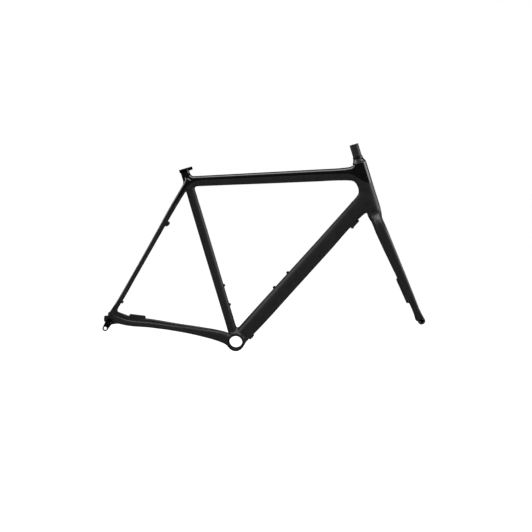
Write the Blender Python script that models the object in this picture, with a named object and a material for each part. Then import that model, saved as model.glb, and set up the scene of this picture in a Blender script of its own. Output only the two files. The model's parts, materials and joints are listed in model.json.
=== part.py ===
"""Road bicycle frameset for disc brakes: frame, fork, headset and thru-axles.

Units are metres. The origin is the centre of the bottom bracket, on the frame's
mid-plane: +X points forward, +Z up, and -Y is the rider's right (the drive side).
"""
import math

import bmesh
import bpy
import numpy as np
from mathutils import Matrix, Vector

# ---------------------------------------------------------------- geometry chart
BB_DROP = 0.0715                        # axles above the bottom bracket centre
CHAINSTAY_LENGTH = 0.405
FRONT_CENTRE = 0.5948
HEAD_ANGLE = math.radians(73.1)
SEAT_ANGLE = math.radians(73.4)
DOWN_TUBE_ANGLE = math.radians(47.7)
FORK_RAKE = 0.042
REAR_SPACING = 0.142                    # between the rear dropouts
FRONT_SPACING = 0.100                   # between the fork ends

# ---------------------------------------------------------------- tubes and shell
GAP = 0.0003                            # left between pieces that touch
SEAT_TUBE_LENGTH = 0.578                # bottom bracket centre to the open top
SEAT_TUBE_DIAMETER = 0.0286
SEATPOST_DIAMETER = 0.0254
SHELL_RADIUS = 0.0275
SHELL_BORE_RADIUS = 0.0210
SHELL_WIDTH = 0.073
TUBE_WALL = 0.0014
STAY_WALL = 0.0013
STAY_TOP_Y = 0.0112                     # half the distance between the seatstay tops
DROPOUT_THICKNESS = 0.0080
DROPOUT_Y = REAR_SPACING / 2 + DROPOUT_THICKNESS / 2
CHAINSTAY_END = Vector((0.0250, 0, 0.0040))     # stay ends, from the rear axle
CHAINSTAY_AIM = Vector((0.995, 0, -0.097))
SEATSTAY_END = Vector((0.0094, 0, 0.0272))
SEATSTAY_AIM = Vector((0.495, 0, 0.869))
SHOULDER_GAP = 0.0010                   # between a stay's end and the dropout's shoulder
BRIDGE_CENTRE = Vector((-0.2175, 0.3770))       # x and z of the bridge above the tyre
BRIDGE_DEPTH = 0.0170
BRIDGE_HEIGHT = 0.0105
BRIDGE_REACH = 0.0270                   # either side of the mid-plane

# ---------------------------------------------------------------- steering
# Heights along the steering axis are counted from the foot of the front axle.
HEAD_BOTTOM = 0.3766
HEAD_TOP = 0.5329
HEAD_RADIUS_BOTTOM = 0.0232
HEAD_RADIUS_MIDDLE = 0.0222
HEAD_RADIUS_TOP = 0.0225
HEAD_BORE_RADIUS = 0.0188
BEARING_RADIUS = 0.0207
BEARING_BORE_RADIUS = 0.0156
BEARING_HEIGHT = 0.0080
BALL_CIRCLE_RADIUS = 0.0180
BALL_RADIUS = 0.0011
BALL_COUNT = 14
STEERER_RADIUS = 0.0143
STEERER_BORE_RADIUS = 0.0118
STEERER_TOP = 0.598
CROWN_TOP = 0.3757
CROWN_SEAT = 0.3737
CROWN_ARCH = 0.3460                     # top of the arch over the tyre
CROWN_FOOT = 0.3180
TYRE_GAP_RADIUS = 0.0225
RACE_RADIUS = 0.0198
COVER_HEIGHT = 0.0245
FORK_END_THICKNESS = 0.0130
FORK_END_RADIUS = 0.0118

# ---------------------------------------------------------------- small parts
AXLE_RADIUS = 0.0060
AXLE_BORE_RADIUS = 0.0032
AXLE_HEAD_RADIUS = 0.0085
AXLE_HEAD_HEIGHT = 0.0045
HANGER_THICKNESS = 0.0070
HANGER_DROP = (-0.0129, -0.0215)        # from the rear axle to the mech bolt hole
HANGER_RING_RADIUS = 0.0125
HANGER_TIP_RADIUS = 0.0088
MECH_HOLE_RADIUS = 0.0050
BOTTLE_BOLT_SPACING = 0.064
DOWN_TUBE_BOTTLE = 0.2118               # lower boss, along the down tube
SEAT_TUBE_BOTTLE = 0.1205               # lower boss, along the seat tube
COLLAR_HEIGHT = 0.0105
COLLAR_THICKNESS = 0.0024
EAR_REACH = 0.0105                      # collar's clamp ears, ahead of the ring
REAR_BRAKE_SPACING = 0.034              # between the two bolt holes of a brake mount
FRONT_BRAKE_SPACING = 0.070

ROUND = 24                              # sides of every piece on the steering axis
SIDES = {"right": -1, "left": 1}

# ---------------------------------------------------------------- derived places
REAR_AXLE = Vector((-math.sqrt(CHAINSTAY_LENGTH**2 - BB_DROP**2), 0, BB_DROP))
FRONT_AXLE = Vector((math.sqrt(FRONT_CENTRE**2 - BB_DROP**2), 0, BB_DROP))
STEER_UP = Vector((-math.cos(HEAD_ANGLE), 0, math.sin(HEAD_ANGLE)))
STEER_AHEAD = Vector((math.sin(HEAD_ANGLE), 0, math.cos(HEAD_ANGLE)))
STEER_FOOT = FRONT_AXLE - FORK_RAKE * STEER_AHEAD
SEAT_UP = Vector((-math.cos(SEAT_ANGLE), 0, math.sin(SEAT_ANGLE)))
SEAT_AHEAD = Vector((math.sin(SEAT_ANGLE), 0, math.cos(SEAT_ANGLE)))
DOWN_ALONG = Vector((math.cos(DOWN_TUBE_ANGLE), 0, math.sin(DOWN_TUBE_ANGLE)))
DOWN_OUT = Vector((math.sin(DOWN_TUBE_ANGLE), 0, -math.cos(DOWN_TUBE_ANGLE)))
LOWER_BEARING = HEAD_BOTTOM + GAP
UPPER_BEARING = HEAD_TOP - GAP / 2 - BEARING_HEIGHT
COVER_BASE = HEAD_TOP + 2 * GAP


# ================================================================ scene helpers
def clear_scene():
    for old in list(bpy.data.objects):
        bpy.data.objects.remove(old, do_unlink=True)


def make_material(name, colour, roughness, metallic):
    material = bpy.data.materials.new(name)
    material.use_nodes = True
    shader = material.node_tree.nodes["Principled BSDF"]
    shader.inputs["Base Color"].default_value = (*colour, 1)
    shader.inputs["Roughness"].default_value = roughness
    shader.inputs["Metallic"].default_value = metallic
    return material


FINISHES = {
    "matte_paint": ((0.018, 0.018, 0.019), 0.55, 0.0),
    "gloss_paint": ((0.010, 0.010, 0.011), 0.12, 0.0),
    "anodised": ((0.020, 0.020, 0.022), 0.35, 0.9),
    "bearing_steel": ((0.55, 0.55, 0.56), 0.25, 1.0),
    "bolt_steel": ((0.06, 0.06, 0.065), 0.35, 1.0),
    "black_plastic": ((0.015, 0.015, 0.015), 0.6, 0.0),
}


def place_empty(name, location, tilt=0.0):
    """An empty whose Z axis leans back from vertical by the tilt, about Y."""
    empty = bpy.data.objects.new(name, None)
    bpy.context.scene.collection.objects.link(empty)
    empty.location = location
    empty.rotation_euler = (0, -tilt, 0)
    return empty


def add_object(name, mesh, finish, parent=None):
    obj = bpy.data.objects.new(name, mesh)
    bpy.context.scene.collection.objects.link(obj)
    obj.parent = parent
    mesh.materials.append(make_material(name, *FINISHES[finish]))
    mesh.shade_smooth()
    mesh.set_sharp_from_angle(angle=math.radians(35))
    return obj


def mesh_from(name, vertices, faces):
    mesh = bpy.data.meshes.new(name)
    mesh.from_pydata([tuple(v) for v in vertices], [], faces)
    shape = bmesh.new()
    shape.from_mesh(mesh)
    bmesh.ops.recalc_face_normals(shape, faces=shape.faces)
    shape.to_mesh(mesh)
    shape.free()
    return mesh


def mesh_from_loops(name, loops, cyclic):
    """Quads between neighbouring closed loops; the ends are joined or capped."""
    count, sides = len(loops), len(loops[0])
    vertices = [point for loop in loops for point in loop]
    faces = []
    for i in range(count if cyclic else count - 1):
        first, second = i * sides, (i + 1) % count * sides
        for j in range(sides):
            k = (j + 1) % sides
            faces.append((first + j, first + k, second + k, second + j))
    if not cyclic:
        faces.append(tuple(range(sides)))
        faces.append(tuple(range((count - 1) * sides, count * sides)))
    return mesh_from(name, vertices, faces)


def subtract(obj, *cutters):
    for cutter in cutters:
        cut = obj.modifiers.new("cut", "BOOLEAN")
        cut.operation = "DIFFERENCE"
        cut.solver = "EXACT"
        cut.object = cutter


def join(obj, other):
    union = obj.modifiers.new("join", "BOOLEAN")
    union.operation = "UNION"
    union.solver = "EXACT"
    union.object = other


def as_cutter(obj):
    obj.hide_render = True
    obj.display_type = "WIRE"
    return obj


# ================================================================ shape helpers
def smooth_stations(stations, count):
    """Catmull-Rom samples through rows of (x, y, z, depth, width)."""
    rows = np.array(stations, float)
    ends = np.vstack([2 * rows[0] - rows[1], rows, 2 * rows[-1] - rows[-2]])
    samples = []
    for place in np.linspace(0, len(rows) - 1, count):
        i = min(int(place), len(rows) - 2)
        t = place - i
        a, b, c, d = ends[i : i + 4]
        curve = 2 * b + (c - a) * t + (2 * a - 5 * b + 4 * c - d) * t**2
        samples.append((curve + (3 * b - a - 3 * c + d) * t**3) / 2)
    return np.array(samples)


def tube_loops(samples, sides, power, inset=0.0):
    """Superelliptic loops square to the path; depth lies in the frame's plane."""
    tangents = np.gradient(samples[:, :3], axis=0).tolist()
    loops = []
    for (*centre, depth, width), tangent in zip(samples.tolist(), tangents):
        along = Vector(tangent).normalized()
        across = (Vector((0, 1, 0)) - along.y * along).normalized()
        deep = across.cross(along)
        loop = []
        for j in range(sides):
            angle = 2 * math.pi * j / sides
            c, s = math.cos(angle), math.sin(angle)
            u = math.copysign(abs(c) ** (2 / power), c) * (depth / 2 - inset)
            v = math.copysign(abs(s) ** (2 / power), s) * (width / 2 - inset)
            loop.append(Vector(centre) + u * deep + v * across)
        loops.append(loop)
    return loops


def tube(name, stations, finish, rings=9, sides=20, power=2.2, wall=None, parent=None):
    """A tube through its stations, with open ends if it has a wall."""
    samples = smooth_stations(stations, rings)
    loops = tube_loops(samples, sides, power)
    if wall:
        loops += tube_loops(samples, sides, power, wall)[::-1]
    mesh = mesh_from_loops(name, loops, cyclic=bool(wall))
    return add_object(name, mesh, finish, parent)


def tube_cutter(name, stations, rings=9, sides=20, power=2.2, parent=None):
    """The solid outside of a tube, grown by the gap."""
    samples = smooth_stations(stations, rings)
    loops = tube_loops(samples, sides, power, -GAP)
    mesh = mesh_from_loops("cut_" + name, loops, cyclic=False)
    return as_cutter(add_object("cut_" + name, mesh, "black_plastic", parent))


def turned_mesh(name, profile, segments, hollow, axis="Z"):
    """A profile of (radius, height) turned about Z, or about Y."""
    loops = []
    for radius, height in profile:
        loop = []
        for j in range(segments):
            angle = 2 * math.pi * j / segments
            x, y = radius * math.cos(angle), radius * math.sin(angle)
            loop.append((x, y, height) if axis == "Z" else (x, height, y))
        loops.append(loop)
    return mesh_from_loops(name, loops, cyclic=hollow)


def turned(name, profile, finish, segments=ROUND, hollow=True, axis="Z", parent=None):
    return add_object(name, turned_mesh(name, profile, segments, hollow, axis), finish, parent)


def ring_profile(inner, outer, low, high):
    return [(inner, low), (outer, low), (outer, high), (inner, high)]


def rod_cutter(name, radius, low, high, location=(0, 0, 0), axis="Y", sides=20, parent=None):
    """A cylinder along Y or Z that drills a hole."""
    mesh = turned_mesh("cut_" + name, [(radius, low), (radius, high)], sides, False, axis)
    obj = add_object("cut_" + name, mesh, "black_plastic", parent)
    obj.location = location
    return as_cutter(obj)


def box_mesh(name, size, centre=(0, 0, 0)):
    shape = bmesh.new()
    bmesh.ops.create_cube(shape, size=1.0, matrix=Matrix.Diagonal((*size, 1)))
    bmesh.ops.translate(shape, vec=centre, verts=shape.verts)
    mesh = bpy.data.meshes.new(name)
    shape.to_mesh(mesh)
    shape.free()
    return mesh


def box_cutter(name, size, centre, parent=None):
    mesh = box_mesh("cut_" + name, size, centre)
    return as_cutter(add_object("cut_" + name, mesh, "black_plastic", parent))


def arc(centre, radius, start, end, steps):
    """Points on a circle from one angle in degrees to another."""
    angles = [math.radians(start + (end - start) * i / steps) for i in range(steps + 1)]
    return [(centre[0] + radius * math.cos(a), centre[1] + radius * math.sin(a)) for a in angles]


def plate(name, outline, low_y, high_y, finish, location=(0, 0, 0), parent=None):
    """An outline of (x, z) points extruded from one y to another."""
    loops = [[(x, y, z) for x, z in outline] for y in (low_y, high_y)]
    obj = add_object(name, mesh_from_loops(name, loops, cyclic=False), finish, parent)
    obj.location = location
    return obj


def link_outline(first, first_radius, second, second_radius, steps=10):
    """Two circles and their common tangents, as one outline."""
    span = Vector(second) - Vector(first)
    facing = math.degrees(math.atan2(span.y, span.x))
    lean = math.degrees(math.acos((first_radius - second_radius) / span.length))
    near = arc(first, first_radius, facing + lean, facing - lean + 360, steps)
    far = arc(second, second_radius, facing - lean, facing + lean, steps)
    return near + far


def frame_at(name, location, ahead, out):
    """An empty with X along one direction and Z along another, square to it."""
    empty = bpy.data.objects.new(name, None)
    bpy.context.scene.collection.objects.link(empty)
    turn = Matrix((ahead, out.cross(ahead), out)).transposed().to_4x4()
    empty.matrix_world = Matrix.Translation(location) @ turn
    return empty


# ================================================================ path stations
def seat_tube_station(height, depth, width):
    return (*(SEAT_UP * height), depth, width)


def down_tube_station(distance, drop, depth, width):
    """Drop is how far the centre line hangs below the straight axis."""
    return (*(DOWN_ALONG * distance + DOWN_OUT * drop), depth, width)


def seat_tube_path():
    top = SEAT_TUBE_DIAMETER
    return [
        seat_tube_station(0.012, 0.030, 0.040),
        seat_tube_station(0.060, 0.0275, 0.034),
        seat_tube_station(0.150, 0.0272, 0.030),
        seat_tube_station(0.330, 0.0280, 0.0286),
        seat_tube_station(0.510, top, top),
        seat_tube_station(SEAT_TUBE_LENGTH, top, top),
    ]


def down_tube_path():
    return [
        down_tube_station(0.006, 0.0, 0.0480, 0.054),
        down_tube_station(0.080, 0.001, 0.0520, 0.054),
        down_tube_station(0.250, 0.0, 0.0508, 0.050),
        down_tube_station(0.420, 0.0, 0.0508, 0.047),
        down_tube_station(0.540, 0.001, 0.0530, 0.044),
        down_tube_station(0.625, 0.004, 0.0600, 0.040),
    ]


def top_tube_path():
    return [
        (-0.152, 0, 0.5130, 0.0305, 0.0330),
        (-0.060, 0, 0.5176, 0.0315, 0.0350),
        (0.100, 0, 0.5251, 0.0340, 0.0360),
        (0.250, 0, 0.5323, 0.0365, 0.0380),
        (0.345, 0, 0.5370, 0.0390, 0.0400),
        (0.398, 0, 0.5395, 0.0490, 0.0400),
    ]


def seatstay_path(side):
    end = REAR_AXLE + SEATSTAY_END
    above_end = end + 0.0228 * SEATSTAY_AIM
    return [
        (-0.1500, side * STAY_TOP_Y, 0.5150, 0.0190, 0.0175),
        (-0.1995, side * 0.0185, 0.4332, 0.0168, 0.0165),
        (-0.2440, side * 0.0300, 0.3545, 0.0142, 0.0145),
        (-0.3265, side * 0.0550, 0.2072, 0.0116, 0.0130),
        (above_end.x, side * 0.0748, above_end.z, 0.0112, 0.0125),
        (end.x, side * DROPOUT_Y, end.z, 0.0116, 0.0125),
    ]


def chainstay_path(side):
    end = REAR_AXLE + CHAINSTAY_END
    return [
        (-0.0120, side * 0.0235, 0.0040, 0.0360, 0.0210),
        (-0.0500, side * 0.0290, 0.0180, 0.0310, 0.0190),
        (-0.1100, side * 0.0345, 0.0339, 0.0240, 0.0165),
        (-0.1860, side * 0.0460, 0.0488, 0.0170, 0.0155),
        (-0.2700, side * 0.0620, 0.0625, 0.0165, 0.0145),
        (-0.3480, side * 0.0745, 0.0725, 0.0185, 0.0130),
        (end.x, side * DROPOUT_Y, end.z, 0.0192, 0.0125),
    ]


def fork_blade_path(side):
    """Stations in the steering frame: ahead, across, up."""
    return [
        (0.0050, side * 0.0380, 0.328, 0.0405, 0.0300),
        (0.0086, side * 0.0428, 0.273, 0.0350, 0.0245),
        (0.0186, side * 0.0480, 0.191, 0.0303, 0.0205),
        (0.0294, side * 0.0530, 0.109, 0.0257, 0.0170),
        (0.0403, side * 0.0567, 0.020, 0.0234, 0.0142),
    ]


# ================================================================ the main frame
def build_shell():
    half = SHELL_WIDTH / 2
    lip = 0.0015
    profile = [
        (SHELL_BORE_RADIUS, -half), (SHELL_RADIUS - lip, -half),
        (SHELL_RADIUS, -half + lip), (SHELL_RADIUS, half - lip),
        (SHELL_RADIUS - lip, half), (SHELL_BORE_RADIUS, half),
    ]
    turned("bottom_bracket_shell", profile, "matte_paint", segments=28, axis="Y")
    reach = SHELL_WIDTH
    return rod_cutter("shell", SHELL_RADIUS + GAP, -reach, reach, sides=28)


def build_head_tube(steering):
    """The head tube is turned about the steering axis, with two bearing pockets."""
    pocket = BEARING_HEIGHT + 2 * GAP
    seat_radius = BEARING_RADIUS + GAP
    middle = (HEAD_BOTTOM + HEAD_TOP) / 2
    profile = [
        (seat_radius, HEAD_BOTTOM), (HEAD_RADIUS_BOTTOM, HEAD_BOTTOM),
        (HEAD_RADIUS_MIDDLE, middle), (HEAD_RADIUS_TOP, HEAD_TOP),
        (seat_radius, HEAD_TOP), (seat_radius, HEAD_TOP - pocket),
        (HEAD_BORE_RADIUS, HEAD_TOP - pocket), (HEAD_BORE_RADIUS, HEAD_BOTTOM + pocket),
        (seat_radius, HEAD_BOTTOM + pocket),
    ]
    turned("head_tube", profile, "gloss_paint", parent=steering)
    outside = [
        (HEAD_RADIUS_BOTTOM + GAP, HEAD_BOTTOM - 0.003), (HEAD_RADIUS_MIDDLE + GAP, middle),
        (HEAD_RADIUS_TOP + GAP, HEAD_TOP + 0.003),
    ]
    mesh = turned_mesh("cut_head", outside, ROUND, False)
    return as_cutter(add_object("cut_head", mesh, "black_plastic", steering))


def build_main_tubes(shell_cutter, head_cutter):
    seat = tube("seat_tube", seat_tube_path(), "matte_paint", rings=9, sides=20, power=2.0)
    bore = rod_cutter("seat_bore", SEATPOST_DIAMETER / 2, 0.035, 0.70, axis="Z", sides=20,
                      parent=place_empty("seat_axis", (0, 0, 0), math.pi / 2 - SEAT_ANGLE))
    subtract(seat, shell_cutter, bore)
    seat_cutter = tube_cutter("seat", seat_tube_path(), rings=9, sides=20, power=2.0)

    down = tube("down_tube", down_tube_path(), "matte_paint", rings=9, sides=22, wall=TUBE_WALL)
    subtract(down, shell_cutter, seat_cutter, head_cutter)
    down_cutter = tube_cutter("down", down_tube_path(), rings=9, sides=22)

    top = tube("top_tube", top_tube_path(), "gloss_paint", rings=8, sides=20, wall=TUBE_WALL)
    subtract(top, seat_cutter, head_cutter, down_cutter)
    return seat, down, seat_cutter, down_cutter


def build_stays(shell_cutter, seat_cutter, down_cutter):
    """Both chainstays and both seatstays, and the bridge above the tyre."""
    top_cutter = tube_cutter("top", top_tube_path(), rings=8, sides=20)
    stay_cutters = []
    for name, side in SIDES.items():
        path = seatstay_path(side)
        seatstay = tube(f"seatstay_{name}", path, "gloss_paint", rings=10, sides=12, wall=STAY_WALL)
        subtract(seatstay, seat_cutter, top_cutter)
        stay_cutters.append(tube_cutter(f"seatstay_{name}", path, rings=10, sides=12))
        chainstay = tube(f"chainstay_{name}", chainstay_path(side), "matte_paint", rings=11,
                         sides=12, wall=STAY_WALL)
        subtract(chainstay, shell_cutter, seat_cutter, down_cutter)
    build_bridge(stay_cutters)


def build_bridge(stay_cutters):
    """An elliptical cross tube above the tyre, its long axis in line with the stays."""
    lean = Matrix.Rotation(math.atan2(SEATSTAY_AIM.z, SEATSTAY_AIM.x), 2)
    outline = []
    for u, v in arc((0, 0), 1.0, 0, 337.5, 15):
        spot = Vector((u * BRIDGE_DEPTH / 2, v * BRIDGE_HEIGHT / 2))
        outline.append(tuple(BRIDGE_CENTRE + lean @ spot))
    bridge = plate("seatstay_bridge", outline, -BRIDGE_REACH, BRIDGE_REACH, "gloss_paint")
    subtract(bridge, *stay_cutters)


# ================================================================ rear dropouts
def shoulder(end, aim, half_depth):
    """The two corners, in (x, z), of the face that a stay's end butts against."""
    centre = Vector((end.x, end.z)) - SHOULDER_GAP * Vector((aim.x, aim.z))
    across = half_depth * Vector((aim.z, -aim.x))
    return [tuple(centre + across), tuple(centre - across)]


def dropout_outline():
    """Seen from the right, relative to the rear axle: shoulders that face the
    two stays, the crook between them, a rounded heel and a boss round the axle."""
    chain_shoulder = shoulder(CHAINSTAY_END, CHAINSTAY_AIM, 0.0090)
    crook = [(0.0175, 0.0155), (0.0150, 0.0185)]
    seat_shoulder = shoulder(SEATSTAY_END, SEATSTAY_AIM, 0.0056)
    back = [(-0.0045, 0.0175)]
    heel = arc((-0.0124, 0.0105), 0.0050, 80, 180, 4)
    heel_foot = [(-0.0168, 0.0006)]
    boss = arc((0.0, 0.0), 0.0110, 215, 290, 6)
    return chain_shoulder + crook + seat_shoulder + back + heel + heel_foot + boss


def stay_spigot(name, end, aim, half_height, side):
    """The tongue of a dropout that sits inside the open end of a stay."""
    place = frame_at(f"{name}_place", REAR_AXLE + end + Vector((0, side * DROPOUT_Y, 0)),
                     Vector((0, 1, 0)), aim)
    size = (0.0060, 2 * half_height, 0.0200)
    return as_cutter(add_object(f"cut_{name}", box_mesh(name, size), "matte_paint", place))


def build_dropouts():
    inner, outer = REAR_SPACING / 2, REAR_SPACING / 2 + DROPOUT_THICKNESS
    hole = rod_cutter("rear_axle_hole", AXLE_RADIUS + GAP, -0.12, 0.12, REAR_AXLE)
    screw_angle, screw_reach = math.radians(118), 0.0095
    screw_out = Vector((math.cos(screw_angle), 0, math.sin(screw_angle)))
    screw_place = REAR_AXLE + screw_reach * screw_out
    screw_hole = rod_cutter("hanger_screw_hole", 0.0018, -0.12, 0, screw_place, sides=12)
    for name, side in SIDES.items():
        low, high = sorted((side * inner, side * outer))
        dropout = plate(f"dropout_{name}", dropout_outline(), low, high, "matte_paint", REAR_AXLE)
        spigots = [
            stay_spigot(f"chain_spigot_{name}", CHAINSTAY_END, CHAINSTAY_AIM, 0.0048, side),
            stay_spigot(f"seat_spigot_{name}", SEATSTAY_END, SEATSTAY_AIM, 0.0022, side),
        ]
        for spigot in spigots:
            join(dropout, spigot)
        subtract(dropout, hole)
        if name == "right":
            subtract(dropout, screw_hole)
    build_hanger(hole, screw_hole, screw_place, -outer - GAP)
    build_axle("rear_axle", REAR_AXLE, -outer - HANGER_THICKNESS, outer)


def build_hanger(axle_hole, screw_hole, screw_place, inner_y):
    """The replaceable hanger: a ring on the axle and the arm that carries the
    rear mech, held to the dropout by one small screw."""
    outline = link_outline((0, 0), HANGER_RING_RADIUS, HANGER_DROP, HANGER_TIP_RADIUS)
    outer_y = inner_y - HANGER_THICKNESS
    hanger = plate("derailleur_hanger", outline, outer_y, inner_y, "anodised", REAR_AXLE)
    mech_place = REAR_AXLE + Vector((HANGER_DROP[0], 0, HANGER_DROP[1]))
    mech_hole = rod_cutter("mech_bolt_hole", MECH_HOLE_RADIUS, -0.12, 0, mech_place)
    subtract(hanger, axle_hole, mech_hole, screw_hole)
    shank, head, length = 0.0014, 0.0026, HANGER_THICKNESS + 0.0060
    profile = [
        (shank, length), (shank, -GAP), (head, -GAP), (head, -0.0014), (head - 0.0008, -0.0020),
    ]
    screw = turned("hanger_screw", profile, "bolt_steel", segments=10, hollow=False, axis="Y")
    screw.location = (screw_place.x, outer_y, screw_place.z)


def build_axle(name, centre, right_y, left_y):
    """A hollow thru-axle: its head bears on the left, its thread ends on the right."""
    head_low, head_high = left_y + GAP, left_y + GAP + AXLE_HEAD_HEIGHT
    edge = 0.0008
    profile = [
        (AXLE_BORE_RADIUS, right_y), (AXLE_RADIUS - edge, right_y), (AXLE_RADIUS, right_y + edge),
        (AXLE_RADIUS, head_low), (AXLE_HEAD_RADIUS, head_low),
        (AXLE_HEAD_RADIUS, head_high - edge), (AXLE_HEAD_RADIUS - edge, head_high),
        (AXLE_BORE_RADIUS, head_high),
    ]
    axle = turned(name, profile, "anodised", segments=16, axis="Y")
    axle.location = centre
    return axle


# ================================================================ fork and headset
def build_steerer(steering):
    profile = ring_profile(STEERER_BORE_RADIUS, STEERER_RADIUS, CROWN_ARCH + 0.001, STEERER_TOP)
    turned("steerer_tube", profile, "matte_paint", parent=steering)


def build_crown(steering):
    """The crown spreads from the head tube's width to the tops of both blades."""
    stations = [
        (0.0000, 0, CROWN_TOP, 0.0460, 0.0464),
        (0.0004, 0, 0.3640, 0.0462, 0.0540),
        (0.0015, 0, 0.3500, 0.0455, 0.0800),
        (0.0032, 0, 0.3360, 0.0430, 0.1000),
        (0.0060, 0, CROWN_FOOT - 0.006, 0.0400, 0.1064),
    ]
    crown = tube("fork_crown", stations, "matte_paint", rings=9, sides=28, power=2.5, parent=steering)
    bore = rod_cutter("crown_bore", STEERER_RADIUS + GAP, 0.30, 0.40, axis="Z", sides=ROUND,
                      parent=steering)
    recess = rod_cutter("crown_recess", RACE_RADIUS + 0.0005, CROWN_SEAT, 0.40, axis="Z", sides=ROUND,
                        parent=steering)
    foot = cut_below("crown_foot", CROWN_FOOT, steering)
    subtract(crown, bore, recess, arch_cutter(steering), foot)


def cut_below(name, height, steering):
    """A cutter that removes everything under a height on the steering axis."""
    return box_cutter(name, (0.2, 0.2, 0.1), (0, 0, height - 0.05), steering)


def cut_above(name, height, steering):
    return box_cutter(name, (0.2, 0.2, 0.1), (0, 0, height + 0.05), steering)


def arch_cutter(steering):
    """The tunnel over the tyre, running fore and aft under the crown."""
    centre = CROWN_ARCH - TYRE_GAP_RADIUS
    low = CROWN_FOOT - 0.04
    outline = arc((0, centre), TYRE_GAP_RADIUS, 0, 180, 12)
    outline += [(-TYRE_GAP_RADIUS, low), (TYRE_GAP_RADIUS, low)]
    loops = [[(x, y, z) for y, z in outline] for x in (-0.08, 0.08)]
    mesh = mesh_from_loops("cut_arch", loops, cyclic=False)
    return as_cutter(add_object("cut_arch", mesh, "black_plastic", steering))


def build_fork_legs(steering):
    """Hollow blades, butted under the crown, with a solid end in each foot."""
    inner, outer = FRONT_SPACING / 2, FRONT_SPACING / 2 + FORK_END_THICKNESS
    middle = (inner + outer) / 2
    hole = rod_cutter("front_axle_hole", AXLE_RADIUS + GAP, -0.12, 0.12, (FORK_RAKE, 0, 0),
                      parent=steering)
    neck, spigot_top, spigot_foot = 0.0255, 0.0370, 0.0195
    butt = cut_above("blade_butt", CROWN_FOOT - GAP, steering)
    foot = cut_below("blade_foot", neck + GAP, steering)
    outline = arc((FORK_RAKE, 0), FORK_END_RADIUS, 180, 360, 12)
    outline += [(0.0513, neck), (0.0277, neck)]
    tongue = [(0.0450, spigot_foot), (0.0430, spigot_top), (0.0324, spigot_top), (0.0344, spigot_foot)]
    for name, side in SIDES.items():
        blade = tube(f"fork_blade_{name}", fork_blade_path(side), "matte_paint", rings=9, sides=16,
                     wall=STAY_WALL, parent=steering)
        subtract(blade, butt, foot)
        low, high = sorted((side * inner, side * outer))
        fork_end = plate(f"fork_end_{name}", outline, low, high, "matte_paint", parent=steering)
        low, high = side * middle - 0.0040, side * middle + 0.0040
        spigot = plate(f"cut_spigot_{name}", tongue, low, high, "matte_paint", parent=steering)
        join(fork_end, as_cutter(spigot))
        subtract(fork_end, hole)
    build_axle("front_axle", FRONT_AXLE, -outer + 0.0005, outer)


def build_bearing(name, base, steering):
    """A cartridge bearing in three pieces: outer race, inner race and balls."""
    top = base + BEARING_HEIGHT
    outer_wall = BALL_CIRCLE_RADIUS + BALL_RADIUS + GAP
    inner_wall = BALL_CIRCLE_RADIUS - BALL_RADIUS - GAP
    turned(f"{name}_outer_race", ring_profile(outer_wall, BEARING_RADIUS, base, top),
           "bearing_steel", parent=steering)
    turned(f"{name}_inner_race", ring_profile(BEARING_BORE_RADIUS, inner_wall, base, top),
           "bearing_steel", parent=steering)
    middle = (base + top) / 2
    cage_profile = ring_profile(BALL_CIRCLE_RADIUS - 0.0006, BALL_CIRCLE_RADIUS + 0.0006,
                                middle - 0.0005, middle + 0.0005)
    cage = turned(f"{name}_balls", cage_profile, "bearing_steel", segments=BALL_COUNT,
                  parent=steering)
    shape = bmesh.new()
    for i in range(BALL_COUNT):
        angle = 2 * math.pi * (i + 0.5) / BALL_COUNT
        place = Matrix.Translation((BALL_CIRCLE_RADIUS * math.cos(angle),
                                    BALL_CIRCLE_RADIUS * math.sin(angle), middle))
        turn = Matrix.Rotation(angle, 4, "Z")
        bmesh.ops.create_uvsphere(shape, u_segments=6, v_segments=4, radius=BALL_RADIUS,
                                  matrix=place @ turn)
    mesh = bpy.data.meshes.new(f"cut_{name}_balls")
    shape.to_mesh(mesh)
    shape.free()
    balls = as_cutter(add_object(f"cut_{name}_balls", mesh, "bearing_steel", steering))
    join(cage, balls)


def build_headset(steering):
    bore = STEERER_RADIUS + GAP
    nose = BEARING_BORE_RADIUS - GAP
    build_bearing("lower_bearing", LOWER_BEARING, steering)
    build_bearing("upper_bearing", UPPER_BEARING, steering)
    seat, base = CROWN_SEAT + GAP, LOWER_BEARING - GAP
    race = [
        (bore, seat), (RACE_RADIUS, seat), (RACE_RADIUS, seat + 0.0010), (0.0180, base), (nose, base),
        (nose, base + 0.0020), (bore, base + 0.0020),
    ]
    turned("crown_race", race, "bearing_steel", parent=steering)
    bearing_top = UPPER_BEARING + BEARING_HEIGHT + GAP
    rim = nose + 0.0011
    wedge = [
        (bore, bearing_top - 0.0020), (nose, bearing_top - 0.0020), (nose, bearing_top),
        (rim, bearing_top), (rim, bearing_top + 0.0016), (bore, bearing_top + 0.0030),
    ]
    ring = turned("compression_ring", wedge, "anodised", parent=steering)
    split = box_cutter("ring_split", (0.01, 0.0015, 0.02), (-nose, 0, bearing_top), steering)
    subtract(ring, split)
    top = COVER_BASE + COVER_HEIGHT
    cover = [
        (0.0205, COVER_BASE), (0.0225, COVER_BASE), (0.0224, COVER_BASE + 0.003),
        (0.0205, COVER_BASE + 0.0065), (0.0175, COVER_BASE + 0.0115), (0.0160, COVER_BASE + 0.017),
        (0.0155, top), (bore, top), (bore, COVER_BASE + 0.0125), (0.0160, COVER_BASE + 0.010),
        (0.0190, COVER_BASE + 0.0045),
    ]
    turned("headset_cover", cover, "anodised", parent=steering)


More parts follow.
